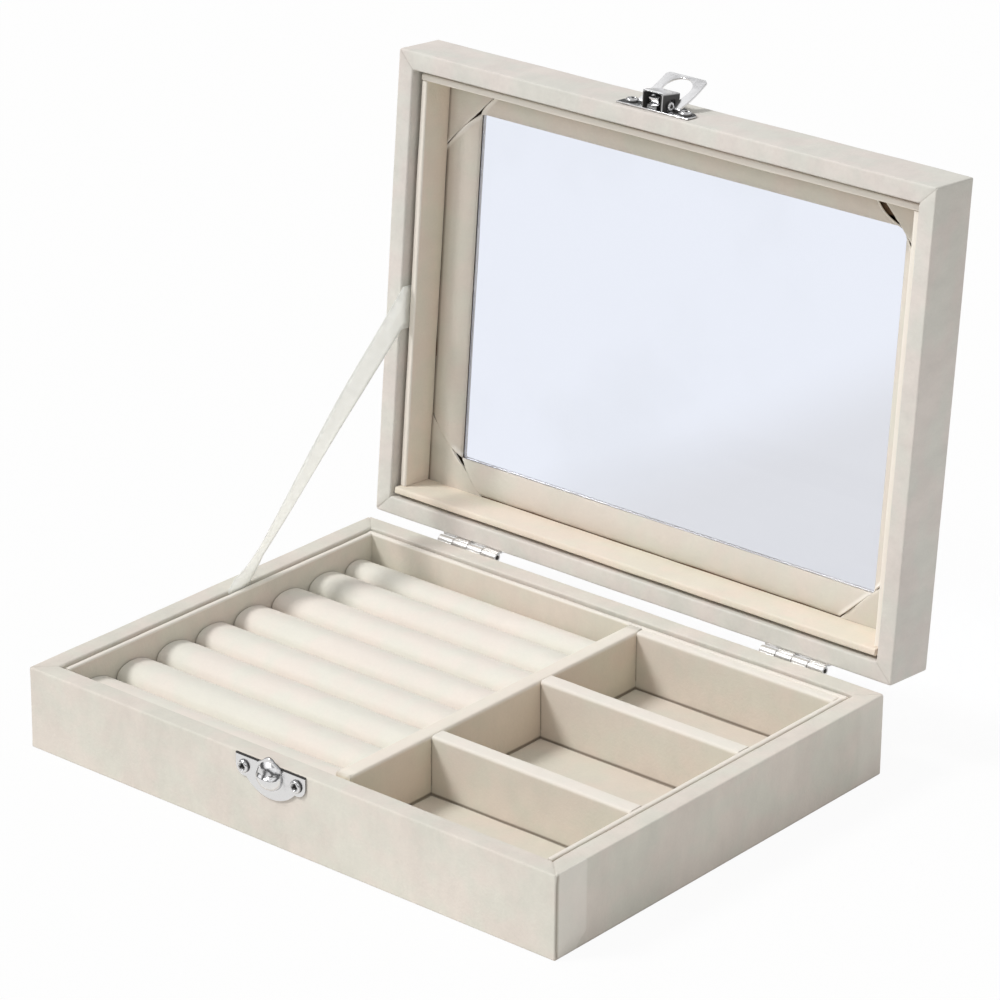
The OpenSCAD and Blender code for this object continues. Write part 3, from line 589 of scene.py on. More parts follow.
def facing(bm, axis):  # turns an open sheet's faces towards the lower side of an axis
    outward(bm)
    if sum(f.normal[axis] for f in bm.faces) > 0:
        bmesh.ops.reverse_faces(bm, faces=bm.faces[:])


def block(low, high):  # a new box between two corners in mm
    low, high = Vector(low) * mm, Vector(high) * mm
    bm = bmesh.new()
    bmesh.ops.create_cube(bm, size=1)
    bmesh.ops.scale(bm, vec=high - low, verts=bm.verts[:])
    bmesh.ops.translate(bm, vec=(low + high) / 2, verts=bm.verts[:])
    return bm


def roundEdges(bm, edges, radius, segments):
    bmesh.ops.bevel(
        bm, geom=edges, offset=radius * mm, offset_type="OFFSET", segments=segments,
        profile=0.5, affect="EDGES", material=-1, clamp_overlap=True,
    )


def cutAt(bm, point, normal, within=None, clear=False):  # a cut along a plane; point in mm
    geom = everything(bm)
    if within:
        faces = [f for f in bm.faces if within(f.calc_center_median() / mm)]
        geom = list({e for f in faces for e in f.edges} | {v for f in faces for v in f.verts}) + faces
    return bmesh.ops.bisect_plane(
        bm, geom=geom, dist=1e-7, plane_co=Vector(point) * mm, plane_no=Vector(normal), clear_outer=clear,
    )["geom_cut"]


def cutCells(bm, size, axes=(0, 1, 2)):  # even cuts across the whole shape, about size mm apart
    for axis in axes:
        low = min(v.co[axis] for v in bm.verts) / mm
        high = max(v.co[axis] for v in bm.verts) / mm
        count = max(1, round((high - low) / size))
        normal = [float(k == axis) for k in range(3)]
        for cut in range(1, count):
            at = low + (high - low) * cut / count
            cutAt(bm, [at * n for n in normal], normal)


def ruffle(bm, height, wave, seed, keep=None):  # uneven surface; height and wave in mm
    bm.normal_update()
    offset = Vector((seed * 3.7, seed * 1.3, seed * 2.9))
    moves = [(v, v.normal * noise.noise(v.co / (wave * mm) + offset) * height * mm) for v in bm.verts]
    for vert, move in moves:
        if keep is None or not keep(vert.co / mm):
            vert.co += move


def joined(bm, other):  # moves one bmesh into another
    mesh = bpy.data.meshes.new("part")
    other.to_mesh(mesh)
    other.free()
    bm.from_mesh(mesh)
    bpy.data.meshes.remove(mesh)


def meshOf(bm, name, finish):
    mesh = bpy.data.meshes.new(name)
    bm.to_mesh(mesh)
    bm.free()
    mesh.materials.append(finish)
    return mesh


def addObject(name, data):
    made = bpy.data.objects.new(name, data)
    bpy.context.scene.collection.objects.link(made)
    return made


def makePiece(name, bm, finish, body, slotName, replaced=(), place=None, weighted=True, recess=None):
    if recess:  # how black each point of a metal piece is painted, as painted shade and dark reflection
        layer = bm.verts.layers.float.new("recess")
        for vert in bm.verts:
            vert[layer] = recess(vert.co / mm)
    if place:
        bmesh.ops.transform(bm, matrix=place, verts=bm.verts[:])
    piece = addObject(name, meshOf(bm, name, finish))
    piece.data.shade_smooth()
    if weighted:
        piece.modifiers.new("flatFaces", "WEIGHTED_NORMAL").keep_sharp = True
    if body:
        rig.ride(piece, body)
    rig.slot(piece, slotName)
    if replaced:
        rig.replaces(piece, *replaced)
    return piece


def solidify(piece, name, thickness, offset=-1):  # in mm, inwards unless the offset says otherwise
    made = piece.modifiers.new(name, "SOLIDIFY")
    made.thickness, made.offset = thickness * mm, offset


def softEdges(piece, name, width, segments):
    made = piece.modifiers.new(name, "BEVEL")
    made.width, made.segments, made.limit_method = width * mm, segments, "ANGLE"
    return made


# A board wrapped in velvet: rounded edges, and a surface that isn't quite flat
def wrappedBoard(
    name, node, body, seed, finish,
    radius=0.6, topRadius=None, endRadius=0.2, place=None, ripple=0.12, bow=0.0,
):
    low, high = spanOf(node, shutLid if place else None)
    bm = block(low, high)
    longest = max(e.calc_length() for e in bm.edges)
    along = [e for e in bm.edges if e.calc_length() > longest - 0.1 * mm]
    if topRadius:
        roundEdges(bm, [e for e in along if e.verts[0].co.z > (high.z - 0.1) * mm], topRadius, 4)
    else:
        roundEdges(bm, along, radius, 3)
        roundEdges(bm, foldsOf(bm, 1.2), endRadius, 2)
    cutCells(bm, 4.0)
    if topRadius:
        for x in (low.x + 0.4, high.x - 0.4):
            cutAt(bm, (x, 0, 0), (1, 0, 0))
    for v in bm.verts:  # the upper part of a back board bows away from its wall
        reach = max(0, (v.co.z / mm - 12) / 14)
        v.co.y -= bow * reach * math.cos(math.pi * v.co.x / (high.x - low.x) / mm) * mm
    ruffle(bm, ripple, 16, seed)
    makePiece(name, bm, finish, body, "inner_velvet", [node], place)


coverLook = {
    "thickness": 0.42, "cornerRadius": 0.6, "cell": 3.2, "ripple": 0.1, "wave": 18,
    "wallGap": 0.5, "rimWidth": 7.2, "creaseDepth": 0.3, "creaseHalf": 0.55,
}
diagonals = [(sx, sy) for sx in (-1, 1) for sy in (-1, 1)]


def foldedRim(bm, halfX, halfY, level, up):  # a mitred fold on the rim: a narrow crease along each diagonal
    half, wide = coverLook["creaseHalf"], coverLook["rimWidth"]

    def corner(c): return abs(c.x) > halfX - wide and abs(c.y) > halfY - wide and abs(c.z - level) < 1
    for sx, sy in diagonals:
        for aside in (-half, 0, half):
            point = (sx * (halfX + aside), sy * halfY, 0)
            cutAt(bm, point, (sx, -sy, 0), lambda c: corner(c) and c.x * sx > 0 and c.y * sy > 0)
    for v in bm.verts:
        c = v.co / mm
        gap = abs((abs(c.x) - halfX) - (abs(c.y) - halfY)) / root2
        if corner(c) and gap < half * 0.4:
            v.co.z -= up * coverLook["creaseDepth"] * mm


def turnIn(bm, faces, depth):  # the faces make way for walls that run depth mm along z from their edges
    turned = bmesh.ops.extrude_face_region(bm, geom=faces)["geom"]
    bmesh.ops.translate(bm, vec=(0, 0, depth * mm), verts=only(turned, bmesh.types.BMVert))
    spare = only(turned, bmesh.types.BMFace) + [f for f in faces if f.is_valid]
    bmesh.ops.delete(bm, geom=spare, context="FACES")


def narrowed(bm, level, width):  # the face at a level, with a border of that width in mm taken off
    face = faceAt(bm, 2, level)
    bmesh.ops.inset_region(bm, faces=[face], thickness=width * mm, use_even_offset=True)
    return [face]


def makeCover(name, bm, finish, body, node, seed, keep=None, place=None):
    ruffle(bm, coverLook["ripple"], coverLook["wave"], seed, keep)
    piece = makePiece(name, bm, finish, body, "outer_velvet", [node], place, weighted=False)
    solidify(piece, "cloth", coverLook["thickness"])
    piece.modifiers.new("flatFaces", "WEIGHTED_NORMAL")


trayLook = {
    "turnIn": 12.0, "turnUnder": 8.0, "lapEnd": (61.5, 63.0), "lapRise": 0.1, "side": (99, 99.4),
    "grooveAt": 74.05, "grooveHalf": 0.7, "grooveDepth": 0.25,
    "foot": (0.9, 2.4), "top": (24.2, 25.2), "flatFoot": 0.3,
}


def makeTrayCover():
    look = trayLook
    low, high = spanOf("base_cover")
    bm = block(low, high)
    wall = abs(low.x) - (abs(spanOf("base_left_wall")[1].x) - coverLook["wallGap"])
    turnIn(bm, narrowed(bm, high.z, wall), -look["turnIn"])
    bmesh.ops.delete(bm, geom=narrowed(bm, low.z, look["turnUnder"]), context="FACES")
    roundEdges(bm, foldsOf(bm), coverLook["cornerRadius"], 3)
    cutCells(bm, coverLook["cell"])
    grooveY, half = -look["grooveAt"], look["grooveHalf"]
    for side in (-1, 1):  # finer cuts where the covering laps round the front corners
        for aside in (-half, -half / 2, 0, half / 2, half):
            cutAt(bm, (0, grooveY + aside, 0), (0, 1, 0), lambda c: c.x * side > look["side"][0])
    foldedRim(bm, high.x, high.y, high.z, 1)
    foot, top = look["foot"], look["top"]
    for v in bm.verts:
        c = v.co / mm
        if abs(c.x) > look["side"][1] and foot[0] < c.z < top[1]:
            fade = min(1, (c.z - foot[0]) / (foot[1] - foot[0]), (top[1] - c.z) / (top[1] - top[0]))
            groove = max(0, 1 - ((c.y - grooveY) / half) ** 2) * look["grooveDepth"]
            lapped = grooveY < c.y < -look["lapEnd"][0] or c.y > look["lapEnd"][1]
            v.co.x -= math.copysign((groove + (not lapped) * look["lapRise"]) * fade * mm, c.x)
    makeCover("trayCover", bm, coverVelvet, "base", "base_cover", 1, lambda c: c.z < look["flatFoot"])


makeTrayCover()
print("tray covering made")


def makeLiners(part, body, seed, finishes, **options):  # the four liners, named after the part of the box
    for number, side in enumerate(("back", "front", "left", "right")):
        node = ("base" if part == "tray" else part) + "_" + side + "_liner"
        bow = trayBow if node == "base_back_liner" else 0
        name = part + side.capitalize() + "Liner"
        wrappedBoard(name, node, body, seed + number, finishes[side == "back"], bow=bow, **options)


trayBow = 0.55  # how far the tray's back liner bows away from its wall, in mm
dividerLook = {"topRadius": 1.0}
padLook = {"radius": 0.7, "endRadius": 0.7, "ripple": 0.2}
trayBoards = {  # each board's node, velvet and edges
    "longDivider": ("long_divider", dividerVelvet, dividerLook),
    "frontCrossDivider": ("front_cross_divider", crossVelvet, dividerLook),
    "rearCrossDivider": ("rear_cross_divider", crossVelvet, dividerLook),
    "compartmentBackBoard": ("compartment_back_pad", crossVelvet, {"radius": 0.8}),
    "frontFloor": ("front_floor_pad", liningVelvet, padLook),
    "middleFloor": ("middle_floor_pad", liningVelvet, padLook),
    "rearFloor": ("rear_floor_pad", liningVelvet, padLook),
}
makeLiners("tray", "base", 2, (trayLinerVelvet, trayLinerVelvet))
for seed, (name, (node, finish, edges)) in enumerate(trayBoards.items(), 6):
    wrappedBoard(name, node, "base", seed, finish, **edges)
print("liners, dividers and floors made")

rollLook = {
    "gap": 0.22, "round": 0.98, "crown": 4.6, "lean": 1.9, "spare": 3.0, "edge": 0.9,
    "endGap": 0.08, "endEdge": 0.3, "voxel": 1.4, "pressure": 40.0, "frames": 20, "cap": 0.3,
    "wrinkle": 0.08, "wave": 9, "fill": 0.8,
}


def rollShape(node):  # a long pad with a crowned top, a little narrower than its room and longer than it
    low, high = spanOf(node)
    gap, spare = rollLook["gap"], rollLook["spare"]
    low, high = low + Vector((-spare, gap, 0)), high - Vector((-spare, gap, gap))
    radius = (high.y - low.y) / 2 * rollLook["round"]
    bm = block(low, high)
    upper = [e for e in bm.edges if all(v.co.z > (high.z - 0.1) * mm for v in e.verts)]
    roundEdges(bm, [e for e in upper if e.calc_length() > 20 * mm], radius, 10)
    for v in bm.verts:  # the arch is pressed flatter, so that the rolls touch close below their crowns
        drop = high.z - v.co.z / mm
        if drop < radius + 0.01:
            v.co.z = (high.z - drop * rollLook["crown"] / radius) * mm
            v.co.y -= rollLook["lean"] * (1 - drop / radius) * mm  # the crowns lean towards the front
    ends = [e for e in foldsOf(bm) if abs(e.verts[0].co.x - e.verts[1].co.x) < 1e-6]
    roundEdges(bm, ends, rollLook["edge"], 2)
    return bm


def applied(piece):  # the piece's mesh with its modifiers in it
    piece.data = bpy.data.meshes.new_from_object(piece.evaluated_get(bpy.context.evaluated_depsgraph_get()))
    piece.modifiers.clear()
    return piece.data


def puffed(piece):  # remeshed, blown up as cloth, and held within the cap
    remesh = piece.modifiers.new("remesh", "REMESH")
    remesh.mode, remesh.voxel_size = "VOXEL", rollLook["voxel"] * mm
    fine = applied(piece)
    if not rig.quick():
        rest = [v.co.copy() for v in fine.vertices]
        cloth = piece.modifiers.new("cloth", "CLOTH")
        cloth.settings.use_pressure = True
        cloth.settings.uniform_pressure_force = rollLook["pressure"]
        cloth.settings.effector_weights.gravity = 0
        for step in range(rollLook["frames"]):
            bpy.context.scene.frame_set(step + 1)
        blown = piece.evaluated_get(bpy.context.evaluated_depsgraph_get()).data
        cap = rollLook["cap"] * mm
        for vert, start, moved in zip(fine.vertices, rest, [v.co.copy() for v in blown.vertices]):
            shift = moved - start
            vert.co = start + (shift if shift.length < cap else shift.normalized() * cap)
        piece.modifiers.clear()
        bpy.context.scene.frame_set(1)
    smooth = piece.modifiers.new("smooth", "SUBSURF")
    smooth.levels = smooth.render_levels = 1
    applied(piece)


def trimmedEnds(bm, node):  # the ends are pressed flat against the liner and the divider
    low, high = spanOf(node)
    for x, way in ((low.x + rollLook["endGap"], -1), (high.x - rollLook["endGap"], 1)):
        rim = only(cutAt(bm, (x, 0, 0), (way, 0, 0), clear=True), bmesh.types.BMEdge)
        bmesh.ops.contextual_create(bm, geom=rim)
        roundEdges(bm, [e for e in rim if e.is_valid], rollLook["endEdge"], 2)


rollNodes = sorted(n for n in nodes if n.startswith("ring_roll_"))
for number, node in enumerate(rollNodes, 1):
    name = "ringRoll" + str(number)
    roll = makePiece(name, rollShape(node), rollVelvet, "base", "roll_velvet", [node], weighted=False)
    puffed(roll)
    bm = bmesh.new()
    bm.from_mesh(roll.data)
    for turn in range(2):
        bmesh.ops.smooth_vert(
            bm, verts=bm.verts[:], factor=0.5, use_axis_x=True, use_axis_y=True, use_axis_z=True,
        )
    ruffle(bm, rollLook["wrinkle"], rollLook["wave"], 30 + number)
    trimmedEnds(bm, node)
    bm.to_mesh(roll.data)
    bm.free()
    roll.data.materials.clear()
    roll.data.materials.append(rollVelvet)
    roll.data.shade_smooth()
    roll.modifiers.new("flatFaces", "WEIGHTED_NORMAL").keep_sharp = True
    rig.padded(roll, fill=rollLook["fill"])
print("ring rolls made")

lidLook = {"turnIn": 8.0, "lipRadius": 0.4, "lipWithin": (90, 65)}


def makeLidCover():
    look = lidLook
    low, high = spanOf("lid_cover", shutLid)
    wall = high.x - (spanOf("lid_right_wall", shutLid)[0].x - coverLook["wallGap"])
    glassTop = spanOf("window_glass", shutLid)[1].z
    openLow = spanOf("window_left_flap", shutLid)[1].x, spanOf("window_front_flap", shutLid)[1].y
    openHigh = spanOf("window_right_flap", shutLid)[0].x, spanOf("window_back_flap", shutLid)[0].y
    bm = block(low, high)
    turnIn(bm, narrowed(bm, low.z, wall), look["turnIn"])
    # the opening for the window: four cuts in the top, and the velvet turned down to the glass
    for axis in (0, 1):
        for reach in (openLow[axis], openHigh[axis]):
            normal = [float(k == axis) for k in range(3)]
            cutAt(bm, [reach * n for n in normal], normal, lambda c: c.z > high.z - 0.1)

    def inside(c): return c.z > high.z - 0.1 and all(openLow[k] < c[k] < openHigh[k] for k in (0, 1))
    turnIn(bm, [f for f in bm.faces if inside(f.calc_center_median() / mm)], glassTop - high.z)
    wideX, wideY = look["lipWithin"]

    def atWindow(c): return c.z > high.z - 0.05 and abs(c.x) < wideX and abs(c.y) < wideY
    folds = foldsOf(bm)
    lip = [e for e in folds if all(atWindow(v.co / mm) for v in e.verts)]
    roundEdges(bm, [e for e in folds if e not in lip], coverLook["cornerRadius"], 3)
    roundEdges(bm, [e for e in lip if e.is_valid], look["lipRadius"], 2)
    cutCells(bm, coverLook["cell"])
    foldedRim(bm, high.x, high.y, low.z, -1)
    makeCover("lidCover", bm, lidVelvet, "lid", "lid_cover", 21, place=openLid)


makeLidCover()
makeLiners("lid", "lid", 22, (lidLiningVelvet, hingeLinerVelvet), place=openLid)
print("lid covering and liners made")

windowLook = {
    # across a flap from its liner to the glass: share of its width, and depth below the rim
    "profile": [
        (-0.08, 14.86), (0.0, 14.85), (0.05, 14.75), (0.14, 14.4), (0.26, 13.95), (0.4, 13.62), (0.55, 13.6),
        (0.7, 13.95), (0.84, 14.75), (0.94, 15.6), (1.0, 16.3), (0.995, 16.42),
    ],
    # at the hinges the flap starts close below the liner
    "hingeProfile": [
        (0.0, 15.0), (0.05, 14.5), (0.15, 14.0), (0.3, 13.8), (0.5, 13.95), (0.72, 14.6),
        (0.88, 15.4), (0.96, 15.95), (1.0, 16.3), (0.995, 16.42),
    ],
    "sheet": 0.5, "cell": 1.6, "ripple": (0.16, 11), "flatFrom": 15.7, "paneEdge": 0.15,
    "lipRise": 0.5, "lipReach": 1.6, "lipPale": 0.8, "boxReach": 175, "cornerAt": 23.8, "openHalf": 0.3,
    "padDepth": (14.25, 14.85), "padStart": (66, 40), "padCrown": 0.45, "padSlope": 5, "padRound": 0.22,
    "padPale": 1.2, "padRipple": (0.12, 8),
    # where each slit runs, and its half width along it, from the side flap past the window's corner
    "slits": {
        "front_left": (39.9, [(-14, 0.22), (-6, 0.32), (-1, 0.42), (3, 0.42), (7, 0.32), (14, 0.22)]),
        "front_right": (39.5, [(-14, 0.2), (-1, 0.35), (2, 0.7), (7, 1.3), (14, 1.5)]),
        "back_left": (40.3, [(-14, 0.01), (-4, 0.02), (-3, 0.4), (1, 0.4), (2, 0.02), (14, 0.01)]),
        "back_right": (38.8, [(-14, 0.1), (-5, 0.4), (-3, 0.4), (-2, 0.16), (14, 0.2)]),
    },
}


def apart(width): return min(1, width / windowLook["openHalf"])  # how far a slit counts as open


def slitOf(cx, cy):  # where it crosses the x axis, its half width at a point, and a point's distance from it
    look = windowLook
    nearer, widths = look["slits"][("front" if cy < 0 else "back") + ("_left" if cx < 0 else "_right")]
    start = look["boxReach"] - nearer

    def half(c):
        along = (look["cornerAt"] - abs(c.x) + abs(c.y)) / root2
        for (d0, w0), (d1, w1) in zip(widths, widths[1:]):
            if along <= d1:
                return w0 + (w1 - w0) * max(0, along - d0) / (d1 - d0)
        return widths[-1][1]

    def gap(c): return (start - cx * c.x - cy * c.y) / root2
    return start, half, gap


def sweepLine(bm, spots, way, steps):  # a line through spots, swept along way into a sheet; in mm
    edges = strung(bm, spots)
    spun(bm, edges + bm.verts[:], (0, 0, 0), (0, 0, 1), 0, steps, way)
    bmesh.ops.remove_doubles(bm, verts=bm.verts[:], dist=1e-6)


def makeFlapSheet(side, cx, cy, rimZ, out, run, edge):
    look = windowLook
    bm = bmesh.new()
    lip = bm.verts.layers.float.new("lip")
    spots = []
    for share, depth in look["hingeProfile" if side == "back" else "profile"]:
        along = (out + (edge - out) * share) * (cx or cy)
        spots.append((along, -run, rimZ + depth) if cx else (-run, along, rimZ + depth))
    sweepLine(bm, spots, (0, 2 * run, 0) if cx else (2 * run, 0, 0), round(2 * run / look["cell"]))
    for end in (-1, 1):
        sx, sy = cx or end, cy or end
        start, half, gap = slitOf(sx, sy)
        for share in (0, 0.25, 0.5, 0.75, 1):
            away = look["lipReach"] * share
            cutAt(bm, (sx * (start - away * root2), 0, 0), (sx, sy, 0), clear=not share)
        for v in bm.verts:
            c = v.co / mm
            reach = 1 - gap(c) / look["lipReach"]
            if reach > 0:
                # painted highlight on the turned edge beside the slit
                v[lip] = look["lipPale"] * min(1, reach * 1.6) * apart(half(c))
                v.co -= Vector((sx, sy, 0)) * (half(c) * reach / root2 * mm)
                v.co.z -= look["lipRise"] * reach * reach * apart(half(c)) * mm
    ruffle(bm, *look["ripple"], 40 + len(side), lambda c: c.z > rimZ + look["flatFrom"])
    facing(bm, 2)
    name, node = "window" + side.capitalize() + "Flap", "window_" + side + "_flap"
    piece = makePiece(name, bm, flapVelvet, "lid", "inner_velvet", [node], openLid, weighted=False)
    solidify(piece, "sheet", look["sheet"])


def cornerPad(cx, cy, rimZ, outX, outY):  # the triangle between a slit and the liners
    look = windowLook
    start, half, gap = slitOf(cx, cy)
    (nearX, nearY), (face, back) = look["padStart"], look["padDepth"]
    near, far = (cx * nearX, cy * nearY, rimZ + face), (cx * outX, cy * outY, rimZ + back)
    part = block([min(pair) for pair in zip(near, far)], [max(pair) for pair in zip(near, far)])
    lip = part.verts.layers.float.new("lip")
    cutCells(part, 2.0, (0, 1))
    cutAt(part, (cx * start, 0, 0), (-cx, -cy, 0), clear=True)
    bmesh.ops.holes_fill(part, edges=[e for e in part.edges if e.is_boundary])
    for away in (0.5, 1.1, 1.8):
        cutAt(part, (cx * (start + away * root2), 0, 0), (cx, cy, 0))
    for v in part.verts:
        c = v.co / mm
        # painted highlight on the turned edge beside the slit
        v[lip] = look["lipPale"] * max(0, 1 - abs(gap(c)) / look["padPale"]) * apart(half(c))
        if abs(gap(c)) < 0.01:
            v.co += Vector((cx, cy, 0)) * (half(c) / root2 * mm)
        inward = min(outX - abs(c.x), outY - abs(c.y), -gap(c))
        v.co.z -= look["padCrown"] * min(1, inward / look["padSlope"]) * mm
    roundEdges(part, foldsOf(part, 0.9), look["padRound"], 2)
    ruffle(part, *look["padRipple"], 50 + cx + 3 * cy)
    return part


def makeWindow():
    rimZ = spanOf("lid_cover", shutLid)[0].z
    outX, outY = spanOf("lid_right_liner", shutLid)[0].x, spanOf("lid_back_liner", shutLid)[0].y
    for side, (cx, cy) in {"left": (-1, 0), "right": (1, 0), "front": (0, -1), "back": (0, 1)}.items():
        low, high = spanOf("window_" + side + "_flap", shutLid)
        edge = min(abs(low.x), abs(high.x)) if cx else min(abs(low.y), abs(high.y))
        makeFlapSheet(side, cx, cy, rimZ, outX if cx else outY, outY if cx else outX, edge)
    bm = bmesh.new()
    bm.verts.layers.float.new("lip")
    for cx, cy in diagonals:
        joined(bm, cornerPad(cx, cy, rimZ, outX, outY))
    makePiece("windowCorners", bm, flapVelvet, "lid", "inner_velvet", ["window_corner_pads"], openLid)
    bm = block(*spanOf("window_glass", shutLid))
    roundEdges(bm, bm.edges[:], windowLook["paneEdge"], 2)
    makePiece("windowPane", bm, paneGlass, "lid", "window_glass", ["window_glass"], openLid)


makeWindow()
print("window made")

ribbonLook = {
    "x": -93.25, "thickness": 0.22, "tail": 9.0, "tray": (7.9, 26.0), "lid": (83.1, 95.4),
    "rows": 32, "bend": 0.08, "sway": 0.35,
    # along its length: share, width in mm, turn out of its plane in degrees, and fold across it in mm
    "course": [
        (0, 6.9, 0, 0), (0.05, 8.2, 16, -0.9), (0.12, 9.2, 27, -0.5), (0.4, 9.3, 15, 0.3),
        (0.7, 9.3, 3, 0.2), (1, 9.5, 0, 0),
    ],
}


def alongRibbon(share):  # half width, turn in radians and fold
    course = ribbonLook["course"]
    for first, last in zip(course, course[1:]):
        if share <= last[0]:
            part = (share - first[0]) / (last[0] - first[0])
            width, turn, fold = (a + (b - a) * part for a, b in zip(first[1:], last[1:]))
            return width / 2, math.radians(turn), fold
    return course[-1][1] / 2, 0.0, 0.0


def makeRibbon():
    look = ribbonLook
    start, end = Vector(look["tray"]), Vector(look["lid"])
    run = end - start
    rimTurn = math.pi - openAngle
    trayWay, lidWay = Vector((1, 0)), Vector((math.cos(rimTurn), math.sin(rimTurn)))
    across = Vector((run.y, -run.x)).normalized()
    trayIn, lidIn = Vector((0, -1)), Vector((math.sin(rimTurn), -math.cos(rimTurn)))
    ends = []
    for way, point, inward, share in ((trayWay, start, trayIn, 0), (-lidWay, end, lidIn, 1)):
        half = alongRibbon(share)[0] / abs(way.dot(across)) * way
        tails = [point + inward * deep for deep in (look["tail"], look["tail"] / 2, 0)]
        ends.append([(tail - half, tail + half) for tail in tails])
    middle = []
    for step in range(1, look["rows"]):
        share = step / look["rows"]
        blend = min(1, share / look["bend"], (1 - share) / look["bend"])
        near = trayWay if share < 0.5 else -lidWay
        way = near * (1 / abs(near.dot(across))) * (1 - blend) + across * blend
        half = alongRibbon(share)[0] * math.cos(alongRibbon(share)[1]) * way
        middle.append((start + run * share - half, start + run * share + half))
    rows = ends[0] + middle + ends[1][::-1]
    bm = bmesh.new()
    pair = [bm.verts.new(Vector((look["x"], *spot)) * mm) for spot in rows[0]]
    edge = bm.edges.new(pair)
    for left, right in rows[1:]:
        made = bmesh.ops.extrude_edge_only(bm, edges=[edge])["geom"]
        fresh = sorted(only(made, bmesh.types.BMVert), key=lambda v: (v.co - pair[0].co).length)
        fresh[0].co, fresh[1].co = (Vector((look["x"], *spot)) * mm for spot in (left, right))
        pair = fresh
        edge = bm.edges.get(pair)
    rungs = [e for e in bm.edges if e.calc_length() > 4.2 * mm]
    bmesh.ops.subdivide_edges(bm, edges=rungs, cuts=5, use_grid_fill=True)
    for v in bm.verts:
        c = (v.co / mm).yz - start
        share = c.dot(run) / run.length_squared
        if 0.01 < share < 0.99:
            half, turn, fold = alongRibbon(share)
            side = max(-1.0, min(1.0, c.dot(across) / (half * math.cos(turn))))
            sway = look["sway"] * math.sin(math.pi * share) * math.sin(7 * share)
            v.co.x += (fold * (0.5 - side * side) * 1.4 + sway - side * half * math.sin(turn)) * mm
    outward(bm)
    piece = makePiece("stayRibbon", bm, ribbonSatin, None, "stay_ribbon", ["stay_ribbon"], weighted=False)
    solidify(piece, "weave", look["thickness"], 0)
    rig.blend(piece, "base", "lid", start=Vector((look["x"], *start)) * mm, end=Vector((look["x"], *end)) * mm)


makeRibbon()
print("stay ribbon made")


class Pen:  # draws an outline in the X-Z plane, in mm, facing the front
    def __init__(self, bm, x, z):
        self.bm = bm
        self.tip = self.first = bm.verts.new((x * mm, 0, z * mm))

    def line(self, x, z):
        vert = self.bm.verts.new((x * mm, 0, z * mm))
        self.bm.edges.new((self.tip, vert))
        self.tip = vert
        return self

    def arc(self, x, z, degrees, steps):  # about a centre, turning left for a positive angle
        last = spun(self.bm, [self.tip], (x, 0, z), (0, -1, 0), math.radians(degrees), steps)
        self.tip = only(last, bmesh.types.BMVert)[0]
        return self

    def face(self):
        self.bm.edges.new((self.tip, self.first))
        return bmesh.ops.contextual_create(self.bm, geom=self.bm.edges[:])["faces"][0]


def thicken(bm, depth):  # gives a face in the X-Z plane a thickness towards the front
    outward(bm)
    fresh = bmesh.ops.extrude_face_region(bm, geom=bm.faces[:])["geom"]
    bmesh.ops.translate(bm, vec=(0, -depth * mm, 0), verts=only(fresh, bmesh.types.BMVert))
    outward(bm)


def frontEdges(bm): return [e for e in bm.edges if all(v.co.y < -0.5 * mm for v in e.verts)]


def turnedShape(points, steps):  # a profile of (radius, height) turned about -Y
    bm = bmesh.new()
    strung(bm, [(radius, -height, 0) for radius, height in points])
    spun(bm, bm.verts[:] + bm.edges[:], (0, 0, 0), (0, -1, 0), math.tau, steps, merged=True)
    bmesh.ops.remove_doubles(bm, verts=bm.verts[:], dist=1e-6)
    outward(bm)
    return bm


plateLook = {
    "lobeSpread": 10.0, "lobeDrop": 3.5, "lobeRadius": 3.25, "lobeSweep": 104.1,
    "crescentRise": 1.5, "crescentSweep": 97.0, "thickness": 0.6, "edge": 0.16,
}
screwLook = {
    "profile": [
        (0, 0.1), (0.7, 0.15), (1.05, 0.9), (1.35, 1.05), (1.75, 0.8), (2.0, 0.3), (2.0, 0.0), (0, 0.0),
    ],
    "steps": 24, "inset": 2, "cross": (0.5, 1.2), "crossDepth": 0.28,
    "socket": 1.05, "rim": 1.9, "grime": 0.9,
}
catchLook = {
    "profile": [(0, 3.4), (1.4, 3.3), (2.4, 3.0), (3.3, 2.4), (4.0, 1.6), (4.5, 0.8), (4.7, 0.0), (0, 0.0)],
    "noseDrop": 3.3, "noseFlat": 0.72, "noseFrom": 0.4,
    "tongue": [(-4.6, -1.2), (4.6, -1.2), (4.4, -0.2), (1.9, 1.35)],
    "tongueMiddle": -0.1, "tongueSweep": 105.4, "tongueThick": 0.8, "tongueEdge": 0.22,
    "topShade": 0.42, "topSoft": 0.08, "outline": 0.5,
}


def crescent():  # the plate below its straight edge, centred on it, its back on the plane y = 0
    look = plateLook
    reach = look["lobeSpread"] + look["lobeRadius"]
    bm = bmesh.new()
    pen = Pen(bm, -reach, 0).line(-reach, -look["lobeDrop"])
    pen.arc(-look["lobeSpread"], -look["lobeDrop"], look["lobeSweep"], 9)
    pen.arc(0, look["crescentRise"], look["crescentSweep"], 24)
    pen.arc(look["lobeSpread"], -look["lobeDrop"], look["lobeSweep"], 9)
    pen.line(reach, 0).face()
    thicken(bm, look["thickness"])
    roundEdges(bm, frontEdges(bm), look["edge"], 2)
    return bm


